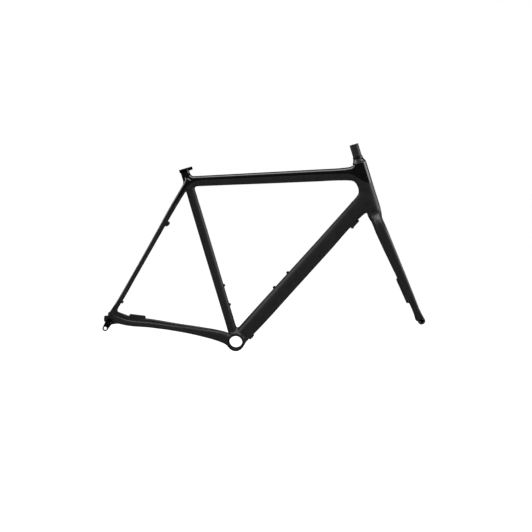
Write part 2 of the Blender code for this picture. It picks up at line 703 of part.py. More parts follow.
# ================================================================ clamps, bolts, ports
def build_seat_collar():
    """A split ring round the top of the seat tube, with its clamp ears ahead."""
    base = SEAT_UP * (SEAT_TUBE_LENGTH - COLLAR_HEIGHT)
    axis = place_empty("collar_axis", base, math.pi / 2 - SEAT_ANGLE)
    inner = SEAT_TUBE_DIAMETER / 2 + GAP
    outer = inner + COLLAR_THICKNESS
    ring = turned_mesh("seat_collar", ring_profile(inner, outer, 0, COLLAR_HEIGHT), 20, True)
    collar = add_object("seat_collar", ring, "anodised", axis)
    half_width, middle = 0.0075, COLLAR_HEIGHT / 2
    ear_spot = (outer - 0.0012 + EAR_REACH / 2, 0, middle)
    join(collar, box_cutter("collar_ears", (EAR_REACH, 2 * half_width, COLLAR_HEIGHT), ear_spot, axis))
    bolt_spot = (outer + EAR_REACH * 0.55, 0, middle)
    split = box_cutter("collar_split", (0.03, 0.0020, 0.04), (outer + 0.011, 0, middle), axis)
    hole = rod_cutter("collar_bolt_hole", 0.0028, -0.03, 0.03, bolt_spot, sides=12, parent=axis)
    subtract(collar, split, hole)
    shank, head, head_end = 0.0024, 0.0042, -half_width - 0.0043
    profile = [
        (shank, half_width), (shank, -half_width - GAP), (head, -half_width - GAP),
        (head, head_end + 0.0005), (head - 0.0005, head_end),
    ]
    bolt = turned("seat_collar_bolt", profile, "bolt_steel", segments=14, hollow=False, axis="Y",
                  parent=axis)
    bolt.location = bolt_spot


def bottle_boss(name, spot, along, out, tube_obj):
    """A threaded insert through the tube's wall, and the bolt that closes it."""
    place = frame_at(f"{name}_place", spot, along, out)
    flange = 0.0016
    insert = [
        (0.0027, -0.0095), (0.0040, -0.0095), (0.0040, GAP), (0.0056, GAP),
        (0.0056, GAP + flange), (0.0027, GAP + flange),
    ]
    turned(f"{name}_insert", insert, "anodised", segments=10, parent=place)
    base = 2 * GAP + flange
    bolt = [
        (0.0023, -0.0085), (0.0023, base), (0.0045, base), (0.0045, base + 0.0012),
        (0.0036, base + 0.0026), (0.0020, base + 0.0030),
    ]
    turned(f"{name}_bolt", bolt, "bolt_steel", segments=10, hollow=False, parent=place)
    hole = rod_cutter(f"{name}_hole", 0.0044, -0.004, 0.006, axis="Z", sides=10, parent=place)
    subtract(tube_obj, hole)


def build_bottle_bosses(seat, down):
    for i, word in enumerate(("lower", "upper")):
        distance = DOWN_TUBE_BOTTLE + i * BOTTLE_BOLT_SPACING
        spot = DOWN_ALONG * distance - DOWN_OUT * 0.0255
        bottle_boss(f"down_tube_{word}_bottle", spot, DOWN_ALONG, -DOWN_OUT, down)
        height = SEAT_TUBE_BOTTLE + i * BOTTLE_BOLT_SPACING
        spot = SEAT_UP * height + SEAT_AHEAD * 0.0139
        bottle_boss(f"seat_tube_{word}_bottle", spot, -SEAT_UP, SEAT_AHEAD, seat)


def rounded_box(name, size, centre, finish, place, edge, segments):
    block = add_object(name, box_mesh(name, size, centre), finish, place)
    soften = block.modifiers.new("soften", "BEVEL")
    soften.width = edge
    soften.segments = segments
    return block


def small_screw(name, shank, depth, head, head_base, place):
    """A screw with a low domed head; its shank goes down along the place's Z."""
    profile = [
        (shank, -depth), (shank, head_base), (head, head_base), (head - 0.0007, head_base + 0.0014),
    ]
    return turned(name, profile, "bolt_steel", segments=12, hollow=False, parent=place)


def build_cable_port(down):
    """The housing under the down tube where the hoses go in, with its screw."""
    distance, length, width, height = 0.535, 0.0350, 0.0160, 0.0110
    spot = DOWN_ALONG * distance + DOWN_OUT * 0.0300
    place = frame_at("port_place", spot, DOWN_ALONG, DOWN_OUT)
    middle = (0, 0, -height / 2)
    port = rounded_box("cable_port", (length, width, height), middle, "black_plastic", place, 0.0015, 2)
    pocket_size = (length + 2 * GAP, width + 2 * GAP, height + 2 * GAP)
    subtract(down, box_cutter("port_pocket", pocket_size, middle, place))
    entries = []
    for name, side in SIDES.items():
        hole = rod_cutter(f"hose_entry_{name}", 0.0023, -0.02, 0.03, sides=12, parent=place)
        hole.rotation_euler = (0, 0, math.radians(90))
        hole.location = (0, side * width / 4, -0.0042)
        entries.append(hole)
    screw_spot = (0.0050 - length / 2, 0, 0)
    screw_hole = rod_cutter("port_screw_hole", 0.0019, -0.02, 0.01, screw_spot, "Z", 12, place)
    subtract(port, *entries, screw_hole)
    screw = small_screw("cable_port_screw", 0.0015, 0.0080, 0.0028, GAP, place)
    screw.location = screw_spot


def build_cable_guide(down):
    """The small guide under the bottom bracket, held by one screw."""
    length, width, height = 0.0200, 0.0180, 0.0024
    place = frame_at("guide_place", DOWN_ALONG * 0.0460 + DOWN_OUT * 0.0275, DOWN_ALONG, DOWN_OUT)
    guide = rounded_box("cable_guide", (length, width, height), (0, 0, 0.0010), "black_plastic", place,
                        0.0008, 1)
    hole = rod_cutter("guide_screw_hole", 0.0021, -0.008, 0.004, axis="Z", sides=12, parent=place)
    subtract(guide, hole)
    subtract(down, hole)
    small_screw("cable_guide_screw", 0.0017, 0.0065, 0.0031, height / 2 + 0.0010 + GAP, place)


def build_rear_brake_mount():
    """A flat pad on top of the left chainstay, drilled for the two caliper bolts."""
    length, width, height = 0.0520, 0.0130, 0.0085
    stay = chainstay_path(SIDES["left"])
    rear, front = Vector(stay[5][:3]), Vector(stay[4][:3])
    along = Vector((front.x - rear.x, 0, front.z - rear.z)).normalized()
    up = Vector((-along.z, 0, along.x))
    middle = (rear + front) / 2
    face = Vector((middle.x - 0.0120, 0.0700, middle.z)) + up * 0.0135
    place = frame_at("rear_brake_place", face, along, up)
    pad = add_object("rear_brake_mount", box_mesh("rear_brake_mount", (length, width, height),
                                                  (0, 0, -height / 2)), "matte_paint", place)
    subtract(pad, tube_cutter("chainstay_pad", stay, rings=11, sides=12))
    for name, x in (("rear", -REAR_BRAKE_SPACING / 2), ("front", REAR_BRAKE_SPACING / 2)):
        subtract(pad, rod_cutter(f"rear_brake_{name}_hole", 0.0027, -0.03, 0.01, (x, 0, 0), "Z", 12, place))


def build_front_brake_mount(steering):
    """A flat pad behind the left fork blade, drilled for the two caliper bolts."""
    depth, width, length = 0.0075, 0.0130, 0.0860
    blade = fork_blade_path(SIDES["left"])
    place = place_empty("front_brake_place", (0.0165, 0.0530, 0.100))
    place.parent = steering
    lean = math.atan2(blade[2][0] - blade[4][0], blade[2][2] - blade[4][2])
    place.rotation_euler = (0, lean, 0)
    pad = add_object("front_brake_mount", box_mesh("front_brake_mount", (depth, width, length)),
                     "matte_paint", place)
    subtract(pad, tube_cutter("blade_pad", blade, rings=10, sides=16, parent=steering))
    for name, z in (("lower", -FRONT_BRAKE_SPACING / 2), ("upper", FRONT_BRAKE_SPACING / 2)):
        hole = rod_cutter(f"front_brake_{name}_hole", 0.0021, -0.02, 0.02, (0, 0, z), "Z", 12, place)
        hole.rotation_euler = (0, math.pi / 2, 0)
        subtract(pad, hole)


def build_hose_guide():
    """The eyelet on the left seatstay that the rear brake hose comes through."""
    ahead = Vector((SEATSTAY_AIM.z, 0, -SEATSTAY_AIM.x))
    stay_spot = Vector((-0.3720, 0.0722, 0.1215))
    place = frame_at("hose_guide_place", stay_spot + ahead * 0.0095, SEATSTAY_AIM, ahead)
    guide = add_object("brake_hose_guide", box_mesh("brake_hose_guide", (0.0090, 0.0085, 0.0080)),
                       "black_plastic", place)
    hole = rod_cutter("hose_guide_hole", 0.0024, -0.02, 0.02, (0, 0, 0.0008), sides=12, parent=place)
    hole.rotation_euler = (0, 0, math.radians(90))
    subtract(guide, tube_cutter("hose_stay", seatstay_path(SIDES["left"]), rings=10, sides=12), hole)


# ================================================================ assembly
def build():
    clear_scene()
    steering = place_empty("steering_axis", STEER_FOOT, math.pi / 2 - HEAD_ANGLE)
    shell_cutter = build_shell()
    head_cutter = build_head_tube(steering)
    seat, down, seat_cutter, down_cutter = build_main_tubes(shell_cutter, head_cutter)
    build_stays(shell_cutter, seat_cutter, down_cutter)
    build_dropouts()
    build_steerer(steering)
    build_crown(steering)
    build_fork_legs(steering)
    build_headset(steering)
    build_seat_collar()
    build_bottle_bosses(seat, down)
    build_cable_port(down)
    build_cable_guide(down)
    build_rear_brake_mount()
    build_front_brake_mount(steering)
    build_hose_guide()


build()
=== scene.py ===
"""Looks of the road bicycle frameset: moulded carbon skins, machined parts and paint.

Metres, in the frame of the CAD model. The moulded tubes are drawn as a distance
field: each tube is a shape with a signed distance to its surface, neighbours flow
together by a smooth minimum, and the zero surface is meshed and cut into one
closed piece for each CAD node. Turned and milled parts are built directly.
"""
import json
import math

import bmesh
import bpy
import numpy as np
from mathutils import Matrix, Vector


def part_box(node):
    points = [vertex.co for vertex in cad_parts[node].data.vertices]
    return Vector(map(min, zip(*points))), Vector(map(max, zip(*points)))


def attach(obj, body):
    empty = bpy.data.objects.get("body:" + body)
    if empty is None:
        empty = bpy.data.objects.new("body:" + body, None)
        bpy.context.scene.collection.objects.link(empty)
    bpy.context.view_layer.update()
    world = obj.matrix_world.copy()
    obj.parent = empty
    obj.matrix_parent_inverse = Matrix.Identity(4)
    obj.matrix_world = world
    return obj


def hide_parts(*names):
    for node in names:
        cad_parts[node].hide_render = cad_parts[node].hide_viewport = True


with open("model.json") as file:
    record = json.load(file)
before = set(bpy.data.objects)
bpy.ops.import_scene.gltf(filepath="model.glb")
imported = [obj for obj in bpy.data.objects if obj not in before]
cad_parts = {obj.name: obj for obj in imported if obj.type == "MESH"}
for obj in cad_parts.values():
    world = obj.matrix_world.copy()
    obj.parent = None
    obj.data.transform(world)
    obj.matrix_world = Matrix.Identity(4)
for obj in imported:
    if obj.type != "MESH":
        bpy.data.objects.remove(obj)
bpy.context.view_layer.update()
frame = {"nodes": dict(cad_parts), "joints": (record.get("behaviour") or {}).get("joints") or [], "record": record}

MOUNTS = {mount["name"]: mount for mount in frame["record"]["mounts"]}
JOINTS = {joint["name"]: joint for joint in frame["joints"]}
SLOT_OF = {part["node"]: part["material_slot"] for part in frame["record"]["subparts"]}
BODIES = frame["record"]["behaviour"]["bodies"]
BODY_OF = {node: body for body, nodes in BODIES.items() for node in nodes}

# ---- places, from the frame


def centre_of(node):
    low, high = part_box(node)
    return (Vector(low) + Vector(high)) / 2


def on_plane(point):
    return Vector((point[0], 0, point[2]))


REAR_AXLE = on_plane(centre_of("rear_axle"))
FRONT_AXLE = on_plane(centre_of("front_axle"))
STEER_UP = Vector(JOINTS["steering"]["axis"]).normalized()
STEER_AHEAD = Vector((STEER_UP.z, 0, -STEER_UP.x))
STEER_FOOT = Vector(JOINTS["steering"]["pos_m"])
SEAT_UP = Vector(MOUNTS["seat_tube_top"]["axis"]).normalized()
SEAT_AHEAD = Vector((SEAT_UP.z, 0, -SEAT_UP.x))
DOWN_OUT = -Vector(MOUNTS["down_tube_bottle_lower"]["axis"]).normalized()
DOWN_ALONG = Vector((-DOWN_OUT.z, 0, DOWN_OUT.x))
FORK_RAKE = (FRONT_AXLE - STEER_FOOT).dot(STEER_AHEAD)
BOLT_HEAD_TOP = 0.0052  # the stated bottle points, above the tube's wall

# ---- sizes
SHELL_RADIUS = 0.0275
SHELL_HALF_WIDTH = abs(MOUNTS["shell_face_right"]["pos_m"][1])
SHELL_BORE_RADIUS, SLEEVE_RADIUS = 0.0210, 0.0236
SEAT_TUBE_LENGTH = 0.578
SEAT_TUBE_RADIUS = 0.0143
SEATPOST_RADIUS = 0.0127
DROPOUT_INNER_Y = 0.071
DROPOUT_THICKNESS = 0.0080
DROPOUT_Y = DROPOUT_INNER_Y + DROPOUT_THICKNESS / 2
CHAINSTAY_END = Vector((0.0250, 0, 0.0034))
CHAINSTAY_AIM = Vector((0.995, 0, -0.097))
SEATSTAY_END = Vector((0.0060, 0, 0.0272))
SEATSTAY_AIM = Vector((0.552, 0, 0.834))
SEATSTAY_BEND = 0.0228  # from the end to where a seatstay turns in
STAY_TAIL = 0.0100  # how far a stay tapers away inside its dropout
BRIDGE_SPOT = Vector((-0.2175, 0, 0.3770))
HEAD_BOTTOM, HEAD_TOP = 0.3766, 0.5329
HEAD_BORE_RADIUS, HEAD_SEAT_RADIUS, HEAD_SEAT_DEPTH = 0.0188, 0.0210, 0.0086
WEB_CENTRE, WEB_RADIUS = Vector((0.3554, 0, 0.4831)), 0.0356
WEB_HALF_WIDTH, WEB_ROUNDING, WEB_REACH = 0.0150, 0.010, 0.062
CROWN_TOP, CROWN_FOOT = 0.3757, 0.3180
CROWN_ARCH, TYRE_GAP_RADIUS = 0.3460, 0.0225
FORK_INNER_Y, FORK_END_THICKNESS, FORK_END_RADIUS = 0.0500, 0.0130, 0.0118
STEERER_RADIUS, STEERER_BORE_RADIUS, STEERER_TOP = 0.0143, 0.0118, 0.598
AXLE_RADIUS = 0.0060
AXLE_HOLE_RADIUS = 0.0063
SCREW_HOLE_RADIUS = 0.0018
OVERRUN = 0.006  # how far a tube runs past the end sawn off it
SIDES = {"right": -1, "left": 1}

# ---- mesh settings
CELL = 0.0021  # edge of one cell of the surface's grid
BLOCK = 8  # cells along a block's edge
TABLE = 241  # samples kept along each tube
FAR = 1.0  # the distance given where a shape isn't near
WEB_FADE = 0.15  # how fast the corner's web gives way to the tubes
CAP_DEPTH = 0.0010  # how far under the surface a hidden cap lies
CAP_RINGS = 4
CHUNK = 200000  # points handled at once
BLOCK_REACH = 1.05  # blocks that meet the surface lie nearer, in block edges
KEY_STRIDE = 4096  # more than the cells along any side of the grid
SLOPE_STEP = 0.0002  # how far apart the field is sampled for its slope
LEAST_STEEPNESS = 0.25  # the smallest squared slope that a step is divided by
ON_SURFACE = 0.00025  # a vertex this near the field's zero lies on the skin
ALL_MATTE = -0.01  # the gloss distance of a skin that has no gloss
SKIN_ANGLE, LATHE_ANGLE, SLAB_ANGLE = 35, 30, 32  # edges sharper than this stay sharp
CLEAR = 0.01  # how far a drill reaches past each end of its hole


# ---- distance fields
def through_stations(reach, rows, places):
    """Cubic curves through the rows, smooth in the distance reached along the tube."""
    slopes = np.gradient(rows, reach, axis=0)
    index = np.clip(np.searchsorted(reach, places, side="right") - 1, 0, len(reach) - 2)
    span = (reach[index + 1] - reach[index])[:, None]
    t = (places - reach[index])[:, None] / span
    return (
        (2 * t**3 - 3 * t**2 + 1) * rows[index] + (t**3 - 2 * t**2 + t) * span * slopes[index]
        + (3 * t**2 - 2 * t**3) * rows[index + 1] + (t**3 - t**2) * span * slopes[index + 1]
    )


def capped(side, beyond):
    """The distance to a length of tube, from those to its side and its end planes."""
    outside = np.hypot(np.maximum(side, 0), np.maximum(beyond, 0))
    return np.minimum(np.maximum(side, beyond), 0) + outside


def smooth_min(a, b, blend):
    share = np.clip(0.5 + 0.5 * (b - a) / blend, 0, 1)
    return b + (a - b) * share - blend * share * (1 - share)


def smooth_max(a, b, blend):
    return -smooth_min(-a, -b, blend)


class Tube:
    """A superelliptic tube through rows of (x, y, z, depth, width). Its width lies
    as near as it can to the given direction."""

    def __init__(self, stations, power=2.2, width_along=(0, 1, 0)):
        rows = np.array(stations, float)
        span = rows[-1, :3] - rows[0, :3]
        self.start = rows[0, :3]
        self.length = np.linalg.norm(span)
        self.along = span / self.length
        self.power = power
        places = np.linspace(0, self.length, TABLE)
        curve = through_stations((rows[:, :3] - self.start) @ self.along, rows, places)
        tangent = np.gradient(curve[:, :3], axis=0)
        tangent /= np.linalg.norm(tangent, axis=1, keepdims=True)
        across = np.array(width_along, float)
        across = across - (tangent @ across)[:, None] * tangent
        across /= np.linalg.norm(across, axis=1, keepdims=True)
        deep = np.cross(across, tangent)
        self.table = np.hstack([curve[:, :3], curve[:, 3:5] / 2, deep, across])
        reach = curve[:, 3:5].max() / 2
        self.low = curve[:, :3].min(axis=0) - reach
        self.high = curve[:, :3].max(axis=0) + reach

    def distance(self, points):
        run = (points - self.start) @ self.along
        place = np.clip(run / self.length, 0, 1) * (TABLE - 1)
        index = np.minimum(place.astype(int), TABLE - 2)
        part = (place - index)[:, None]
        row = self.table[index] * (1 - part) + self.table[index + 1] * part
        offset = points - row[:, :3]
        u = (offset * row[:, 5:8]).sum(axis=1)
        v = (offset * row[:, 8:11]).sum(axis=1)
        radius = np.hypot(u, v)
        scaled = np.abs(u / row[:, 3]) ** self.power + np.abs(v / row[:, 4]) ** self.power
        scaled = np.maximum(scaled, 1e-9) ** (1 / self.power)
        side = np.maximum(radius - radius / scaled, -np.minimum(row[:, 3], row[:, 4]))
        return capped(side, np.maximum(-run, run - self.length))


def off_segment(points, start, end):
    """Offsets in a plane from the nearest spot on a segment."""
    edge, offset = end - start, points - start
    t = np.clip(offset @ edge / (edge @ edge), 0, 1)
    return offset - t[:, None] * edge


def polygon_distance(corners, points):
    """Signed distance in a plane to a closed outline, negative inside."""
    nearest = np.full(len(points), np.inf)
    inside = np.zeros(len(points), bool)
    for start, end in zip(corners, np.roll(corners, -1, axis=0)):
        nearest = np.minimum(nearest, (off_segment(points, start, end) ** 2).sum(axis=1))
        run, rise = end - start
        spans = (start[1] > points[:, 1]) != (end[1] > points[:, 1])
        if rise:
            inside ^= spans & (points[:, 0] < start[0] + run * (points[:, 1] - start[1]) / rise)
    return np.where(inside, -1, 1) * np.sqrt(nearest)


class Plate:
    """A flat outline of (x, z) corners, given thickness and rounded edges."""

    def __init__(self, outline, y_middle, thickness, rounding):
        self.corners = np.array(outline, float)
        self.y_middle = y_middle
        self.half_thickness = thickness / 2
        self.rounding = rounding
        self.low = np.insert(self.corners.min(axis=0), 1, y_middle - self.half_thickness)
        self.high = np.insert(self.corners.max(axis=0), 1, y_middle + self.half_thickness)

    def distance(self, points):
        edge = polygon_distance(self.corners, points[:, [0, 2]]) + self.rounding
        face = np.abs(points[:, 1] - self.y_middle) - self.half_thickness + self.rounding
        return capped(edge, face) - self.rounding


class Block:
    """A rounded box with its own three axes."""

    def __init__(self, centre, axes, size, rounding):
        self.centre = np.array(centre)
        self.axes = np.array([tuple(axis) for axis in axes]).T
        self.half = np.array(size) / 2 - rounding
        self.rounding = rounding
        reach = np.linalg.norm(np.array(size)) / 2
        self.low, self.high = self.centre - reach, self.centre + reach

    def distance(self, points):
        away = np.abs((points - self.centre) @ self.axes) - self.half
        outside = np.linalg.norm(np.maximum(away, 0), axis=1)
        return outside + np.minimum(away.max(axis=1), 0) - self.rounding


class Web:
    """Fills the frame's sharp front corner and leaves a round one between the top tube
    and the down tube."""

    def __init__(self, top_along):
        self.top_along = np.array([top_along.x, top_along.z])
        self.down_along = np.array([DOWN_ALONG.x, DOWN_ALONG.z])
        reach = np.array([WEB_REACH, WEB_HALF_WIDTH, WEB_REACH])
        self.low, self.high = np.array(WEB_CENTRE) - reach, np.array(WEB_CENTRE) + reach

    def distance(self, points):
        offset = (points - np.array(WEB_CENTRE))[:, [0, 2]]
        away = np.hypot(offset[:, 0], offset[:, 1])
        beside = WEB_FADE * np.maximum(-offset @ self.top_along, -offset @ self.down_along)
        face = np.abs(points[:, 1]) - WEB_HALF_WIDTH
        body = smooth_max(WEB_RADIUS - away, face, WEB_ROUNDING)
        return np.maximum(smooth_max(body, beside, WEB_ROUNDING), away - WEB_REACH)


class Arch:
    """The outside of a round-topped tunnel that runs fore and aft over the tyre."""

    def distance(self, points):
        up = (points - np.array(STEER_FOOT)) @ np.array(STEER_UP)
        above = np.maximum(up - (CROWN_ARCH - TYRE_GAP_RADIUS), 0)
        return TYRE_GAP_RADIUS - np.hypot(points[:, 1], above)


class Skin:
    """Shapes that flow together, each standing for one CAD node, less some cuts."""

    def __init__(self):
        self.shapes = []
        self.cuts = []

    def add(self, node, shape, blend):
        self.shapes.append((node, shape, blend))

    def cut(self, shape, blend):
        self.cuts.append((shape, blend))

    def measure(self, points, nodes=False):
        """The distance at each point, or the index of the nearest shape."""
        total = np.full(len(points), FAR)
        nearest = np.full(len(points), FAR)
        owner = np.zeros(len(points), int)
        margin = 2.0 * BLOCK * CELL
        for i, (_, shape, blend) in enumerate(self.shapes):
            close = ((points > shape.low - margin) & (points < shape.high + margin)).all(axis=1)
            index = np.flatnonzero(close)
            if not len(index):
                continue
            away = shape.distance(points[index])
            total[index] = smooth_min(total[index], away, blend)
            if nodes:
                better = away < nearest[index]
                nearest[index[better]] = away[better]
                owner[index[better]] = i
        if nodes:
            return owner
        for shape, blend in self.cuts:
            total = smooth_max(total, shape.distance(points), blend)
        return total

    def limits(self):
        low = np.min([shape.low for _, shape, _ in self.shapes], axis=0)
        high = np.max([shape.high for _, shape, _ in self.shapes], axis=0)
        return low - 4 * CELL, high + 4 * CELL


TETRAHEDRON = np.array([[1, 1, 1], [1, -1, -1], [-1, 1, -1], [-1, -1, 1]], float)


def value_and_slope(skin, points):
    """The field and its slope, from four samples close round each point."""
    values = [skin.measure(points + SLOPE_STEP * corner) for corner in TETRAHEDRON]
    slope = sum(value[:, None] * corner for value, corner in zip(values, TETRAHEDRON))
    return sum(values) / 4, slope / (4 * SLOPE_STEP)


def shift_to(value, slope):
    """The step along the slope that would bring the value to zero."""
    squared = np.maximum((slope**2).sum(axis=1), LEAST_STEEPNESS)
    return (value / squared)[:, None] * slope


def in_chunks(function, points):
    parts = [function(points[i : i + CHUNK]) for i in range(0, len(points), CHUNK)]
    return np.concatenate(parts)


# ---- meshing the field
def lattice(counts):
    """Every whole (i, j, k) below three counts."""
    return np.stack(np.meshgrid(*map(np.arange, counts), indexing="ij"), axis=-1).reshape(-1, 3)


CORNERS = lattice([2, 2, 2])
EDGES = [(a, b) for a in range(8) for b in range(a) if np.abs(CORNERS[a] - CORNERS[b]).sum() == 1]


def crossed_cells(skin, low, high):
    """The cells that the surface passes through, and the distances at their corners."""
    size = BLOCK * CELL
    grid = lattice(np.ceil((high - low) / size).astype(int))
    middle = in_chunks(skin.measure, low + (grid + 0.5) * size)
    blocks = grid[np.abs(middle) < BLOCK_REACH * size]
    spots = (blocks[:, None, :] * BLOCK + lattice([BLOCK + 1] * 3)).reshape(-1, 3)
    values = in_chunks(lambda part: skin.measure(low + part * CELL), spots)
    values = values.reshape(-1, BLOCK + 1, BLOCK + 1, BLOCK + 1)
    cells = [values[:, i : i + BLOCK, j : j + BLOCK, k : k + BLOCK] for i, j, k in CORNERS]
    cells = np.stack(cells, axis=-1)
    inside = cells < 0
    mixed = inside.any(axis=-1) & ~inside.all(axis=-1)
    where = np.argwhere(mixed)
    return blocks[where[:, 0]] * BLOCK + where[:, 1:], cells[mixed]


def surface_nets(skin):
    """One vertex for each crossed cell and one quad for each crossed grid edge."""
    low, high = skin.limits()
    places, values = crossed_cells(skin, low, high)
    spread = np.array([KEY_STRIDE**2, KEY_STRIDE, 1])
    keys = places @ spread
    order = np.argsort(keys)
    places, values, keys = places[order], values[order], keys[order]

    total, count = np.zeros((len(places), 3)), np.zeros(len(places))
    for a, b in EDGES:
        crossing = (values[:, a] < 0) != (values[:, b] < 0)
        gap = np.where(crossing, values[:, a] - values[:, b], 1)
        t = np.where(crossing, values[:, a] / gap, 0)[:, None]
        spot = CORNERS[a] + t * (CORNERS[b] - CORNERS[a])
        total += np.where(crossing[:, None], spot, 0)
        count += crossing
    points = low + (places + total / count[:, None]) * CELL

    quads = []
    first_inside = values[:, 0] < 0
    for axis in range(3):
        owner = np.flatnonzero(first_inside != (values[:, 4 >> axis] < 0))
        here = keys[owner]
        step_a, step_b = spread[(axis + 1) % 3], spread[(axis + 2) % 3]
        ring = [here, here - step_a, here - step_a - step_b, here - step_b]
        quad = np.stack([np.searchsorted(keys, key) for key in ring], axis=1)
        flipped = ~first_inside[owner]
        quad[flipped] = quad[flipped][:, ::-1]
        quads.append(quad)
    return settle(skin, points), np.concatenate(quads)


def settle(skin, points, rounds=2):
    """Moves points onto the surface along the field's slope."""
    def move(part):
        for _ in range(rounds):
            shift = shift_to(*value_and_slope(skin, part))
            reach = np.maximum(np.linalg.norm(shift, axis=1, keepdims=True) / (0.5 * CELL), 1)
            part = part - shift / reach
        return part
    return in_chunks(move, points)


def boundary_loops(faces):
    """The closed rims of a patch of quads, each in the faces' own direction."""
    ends = np.stack([faces, np.roll(faces, -1, axis=1)], axis=-1).reshape(-1, 2)
    have = set(map(tuple, ends.tolist()))
    following = {}
    for a, b in have:
        if (b, a) not in have:
            following.setdefault(a, []).append(b)
    loops = []
    while following:
        here, loop = min(following), []
        while here in following:
            loop.append(here)
            nexts = following[here]
            after = nexts.pop()
            if not nexts:
                del following[here]
            here = after
        loops.append(loop)
    return loops


def sink(skin, points, rounds=6):
    """Moves points under the surface where they aren't yet deep enough."""
    for _ in range(rounds):
        value, slope = value_and_slope(skin, points)
        points = points - shift_to(np.maximum(value + CAP_DEPTH, 0), slope)
    return points


def closed_patch(skin, points, faces):
    """A patch of the skin made into a closed solid by a hidden cap over each rim."""
    used, faces_here = np.unique(faces, return_inverse=True)
    faces_here = faces_here.reshape(faces.shape)
    vertices = points[used].tolist()
    solid = [tuple(face) for face in faces_here.tolist()]
    for loop in boundary_loops(faces_here):
        rim = np.array([vertices[i] for i in loop])
        hub = sink(skin, rim.mean(axis=0, keepdims=True))
        ring = loop
        for step in range(CAP_RINGS):
            inner = list(range(len(vertices), len(vertices) + len(loop)))
            part = step / CAP_RINGS
            vertices += sink(skin, rim + part * (hub - rim)).tolist()
            for i, after in enumerate([*range(1, len(loop)), 0]):
                solid.append((ring[after], ring[i], inner[i], inner[after]))
            ring = inner
        solid += [(b, a, len(vertices)) for a, b in zip(ring, ring[1:] + ring[:1])]
        vertices += hub.tolist()
    return vertices, solid


# ---- objects and cuts
def new_object(name, mesh, place=None):
    obj = bpy.data.objects.new(name, mesh)
    bpy.context.scene.collection.objects.link(obj)
    if place is not None:
        obj.matrix_world = place
    return obj


def mesh_of(name, vertices, faces):
    mesh = bpy.data.meshes.new(name)
    mesh.from_pydata([tuple(v) for v in vertices], [], faces)
    shape = bmesh.new()
    shape.from_mesh(mesh)
    bmesh.ops.recalc_face_normals(shape, faces=shape.faces)
    shape.to_mesh(mesh)
    shape.free()
    return mesh


def apply_modifiers(obj):
    bpy.context.view_layer.update()
    graph = bpy.context.evaluated_depsgraph_get()
    finished = bpy.data.meshes.new_from_object(obj.evaluated_get(graph))
    obj.modifiers.clear()
    old, obj.data = obj.data, finished
    bpy.data.meshes.remove(old)


def modify(obj, kind, **settings):
    """Adds a modifier with its settings."""
    modifier = obj.modifiers.new(kind.lower(), kind)
    for name, value in settings.items():
        setattr(modifier, name, value)


def cut_away(obj, cutters, tangled=False):
    """Subtracts each cutter from an object for good. A tangled one may cross itself."""
    for cutter in cutters:
        modify(obj, "BOOLEAN", operation="DIFFERENCE", solver="EXACT", use_self=tangled, object=cutter)
    if cutters:
        apply_modifiers(obj)


def smooth_edges(obj, angle):
    obj.data.shade_smooth()
    obj.data.set_sharp_from_angle(angle=math.radians(angle))


def basis(location, x_axis, z_axis):
    """A matrix with its X and Z axes along two square directions."""
    x, z = Vector(x_axis).normalized(), Vector(z_axis).normalized()
    turn = Matrix((x, z.cross(x), z)).transposed().to_4x4()
    return Matrix.Translation(location) @ turn


def rounded_profile(corners, radius, closed=True, steps=3):
    """The corners of a profile, each replaced by a short arc."""
    points = [Vector(corner) for corner in corners]
    result = []
    for i, here in enumerate(points):
        if not closed and i in (0, len(points) - 1):
            result.append(here)
            continue
        before, after = points[i - 1] - here, points[(i + 1) % len(points)] - here
        reach = min(radius, 0.45 * before.length, 0.45 * after.length)
        start, end = here + before.normalized() * reach, here + after.normalized() * reach
        for step in range(steps + 1):
            t = step / steps
            result.append((1 - t) ** 2 * start + 2 * t * (1 - t) * here + t**2 * end)
    return [tuple(point) for point in result]


def lathe_mesh(name, profile, segments=64, closed=True):
    """A profile of (radius, height) turned about Z; a closed one leaves a bore."""
    count, faces = len(profile), []
    angles = [2 * math.pi * j / segments for j in range(segments)]
    vertices = [(radius * math.cos(angle), radius * math.sin(angle), height)
                for radius, height in profile for angle in angles]
    for i in range(count if closed else count - 1):
        first, second = i * segments, (i + 1) % count * segments
        for j in range(segments):
            k = (j + 1) % segments
            faces.append((first + j, first + k, second + k, second + j))
    if not closed:
        faces.append(tuple(range(segments)))
        faces.append(tuple(range((count - 1) * segments, count * segments)))
    return mesh_of(name, vertices, faces)


CUTTERS = []
STEERING = basis(STEER_FOOT, STEER_AHEAD, STEER_UP)
SEAT = basis((0, 0, 0), SEAT_AHEAD, SEAT_UP)


def cutter_from(name, profile, place, segments=64):
    """A turned solid that is subtracted from others and isn't kept."""
    cutter = new_object(name, lathe_mesh(name, profile, segments, closed=False), place)
    cutter.hide_render = True
    CUTTERS.append(cutter)
    return cutter


def across_at(point):
    """A frame whose Z axis points to the rider's left, at a point."""
    return basis(point, (1, 0, 0), (0, 1, 0))


def drill(name, radius, low, high, place, chamfer=0.0):
    """A hole along the place's Z axis, with a chamfer at each end."""
    if not chamfer:
        return cutter_from(name, [(radius, low - CLEAR), (radius, high + CLEAR)], place)
    wide = radius + chamfer + CLEAR
    return cutter_from(name, [
        (wide, low - CLEAR), (radius, low + chamfer), (radius, high - chamfer), (wide, high + CLEAR),
    ], place)


# ---- the frame's shapes
def in_steering(ahead, across, up):
    """A point given by distances from the foot of the steering axis."""
    return STEER_FOOT + STEER_AHEAD * ahead + Vector((0, across, 0)) + STEER_UP * up


def seat_tube():
    top = 2 * SEAT_TUBE_RADIUS
    rows = [
        (0.012, 0.0310, 0.0400), (0.060, 0.0298, 0.0340), (0.150, 0.0298, 0.0300),
        (0.330, 0.0304, 0.0290), (0.450, 0.0300, top), (0.540, top, top),
        (SEAT_TUBE_LENGTH + OVERRUN, top, top),
    ]
    return Tube([(*(SEAT_UP * height), depth, width) for height, depth, width in rows], power=2.0)


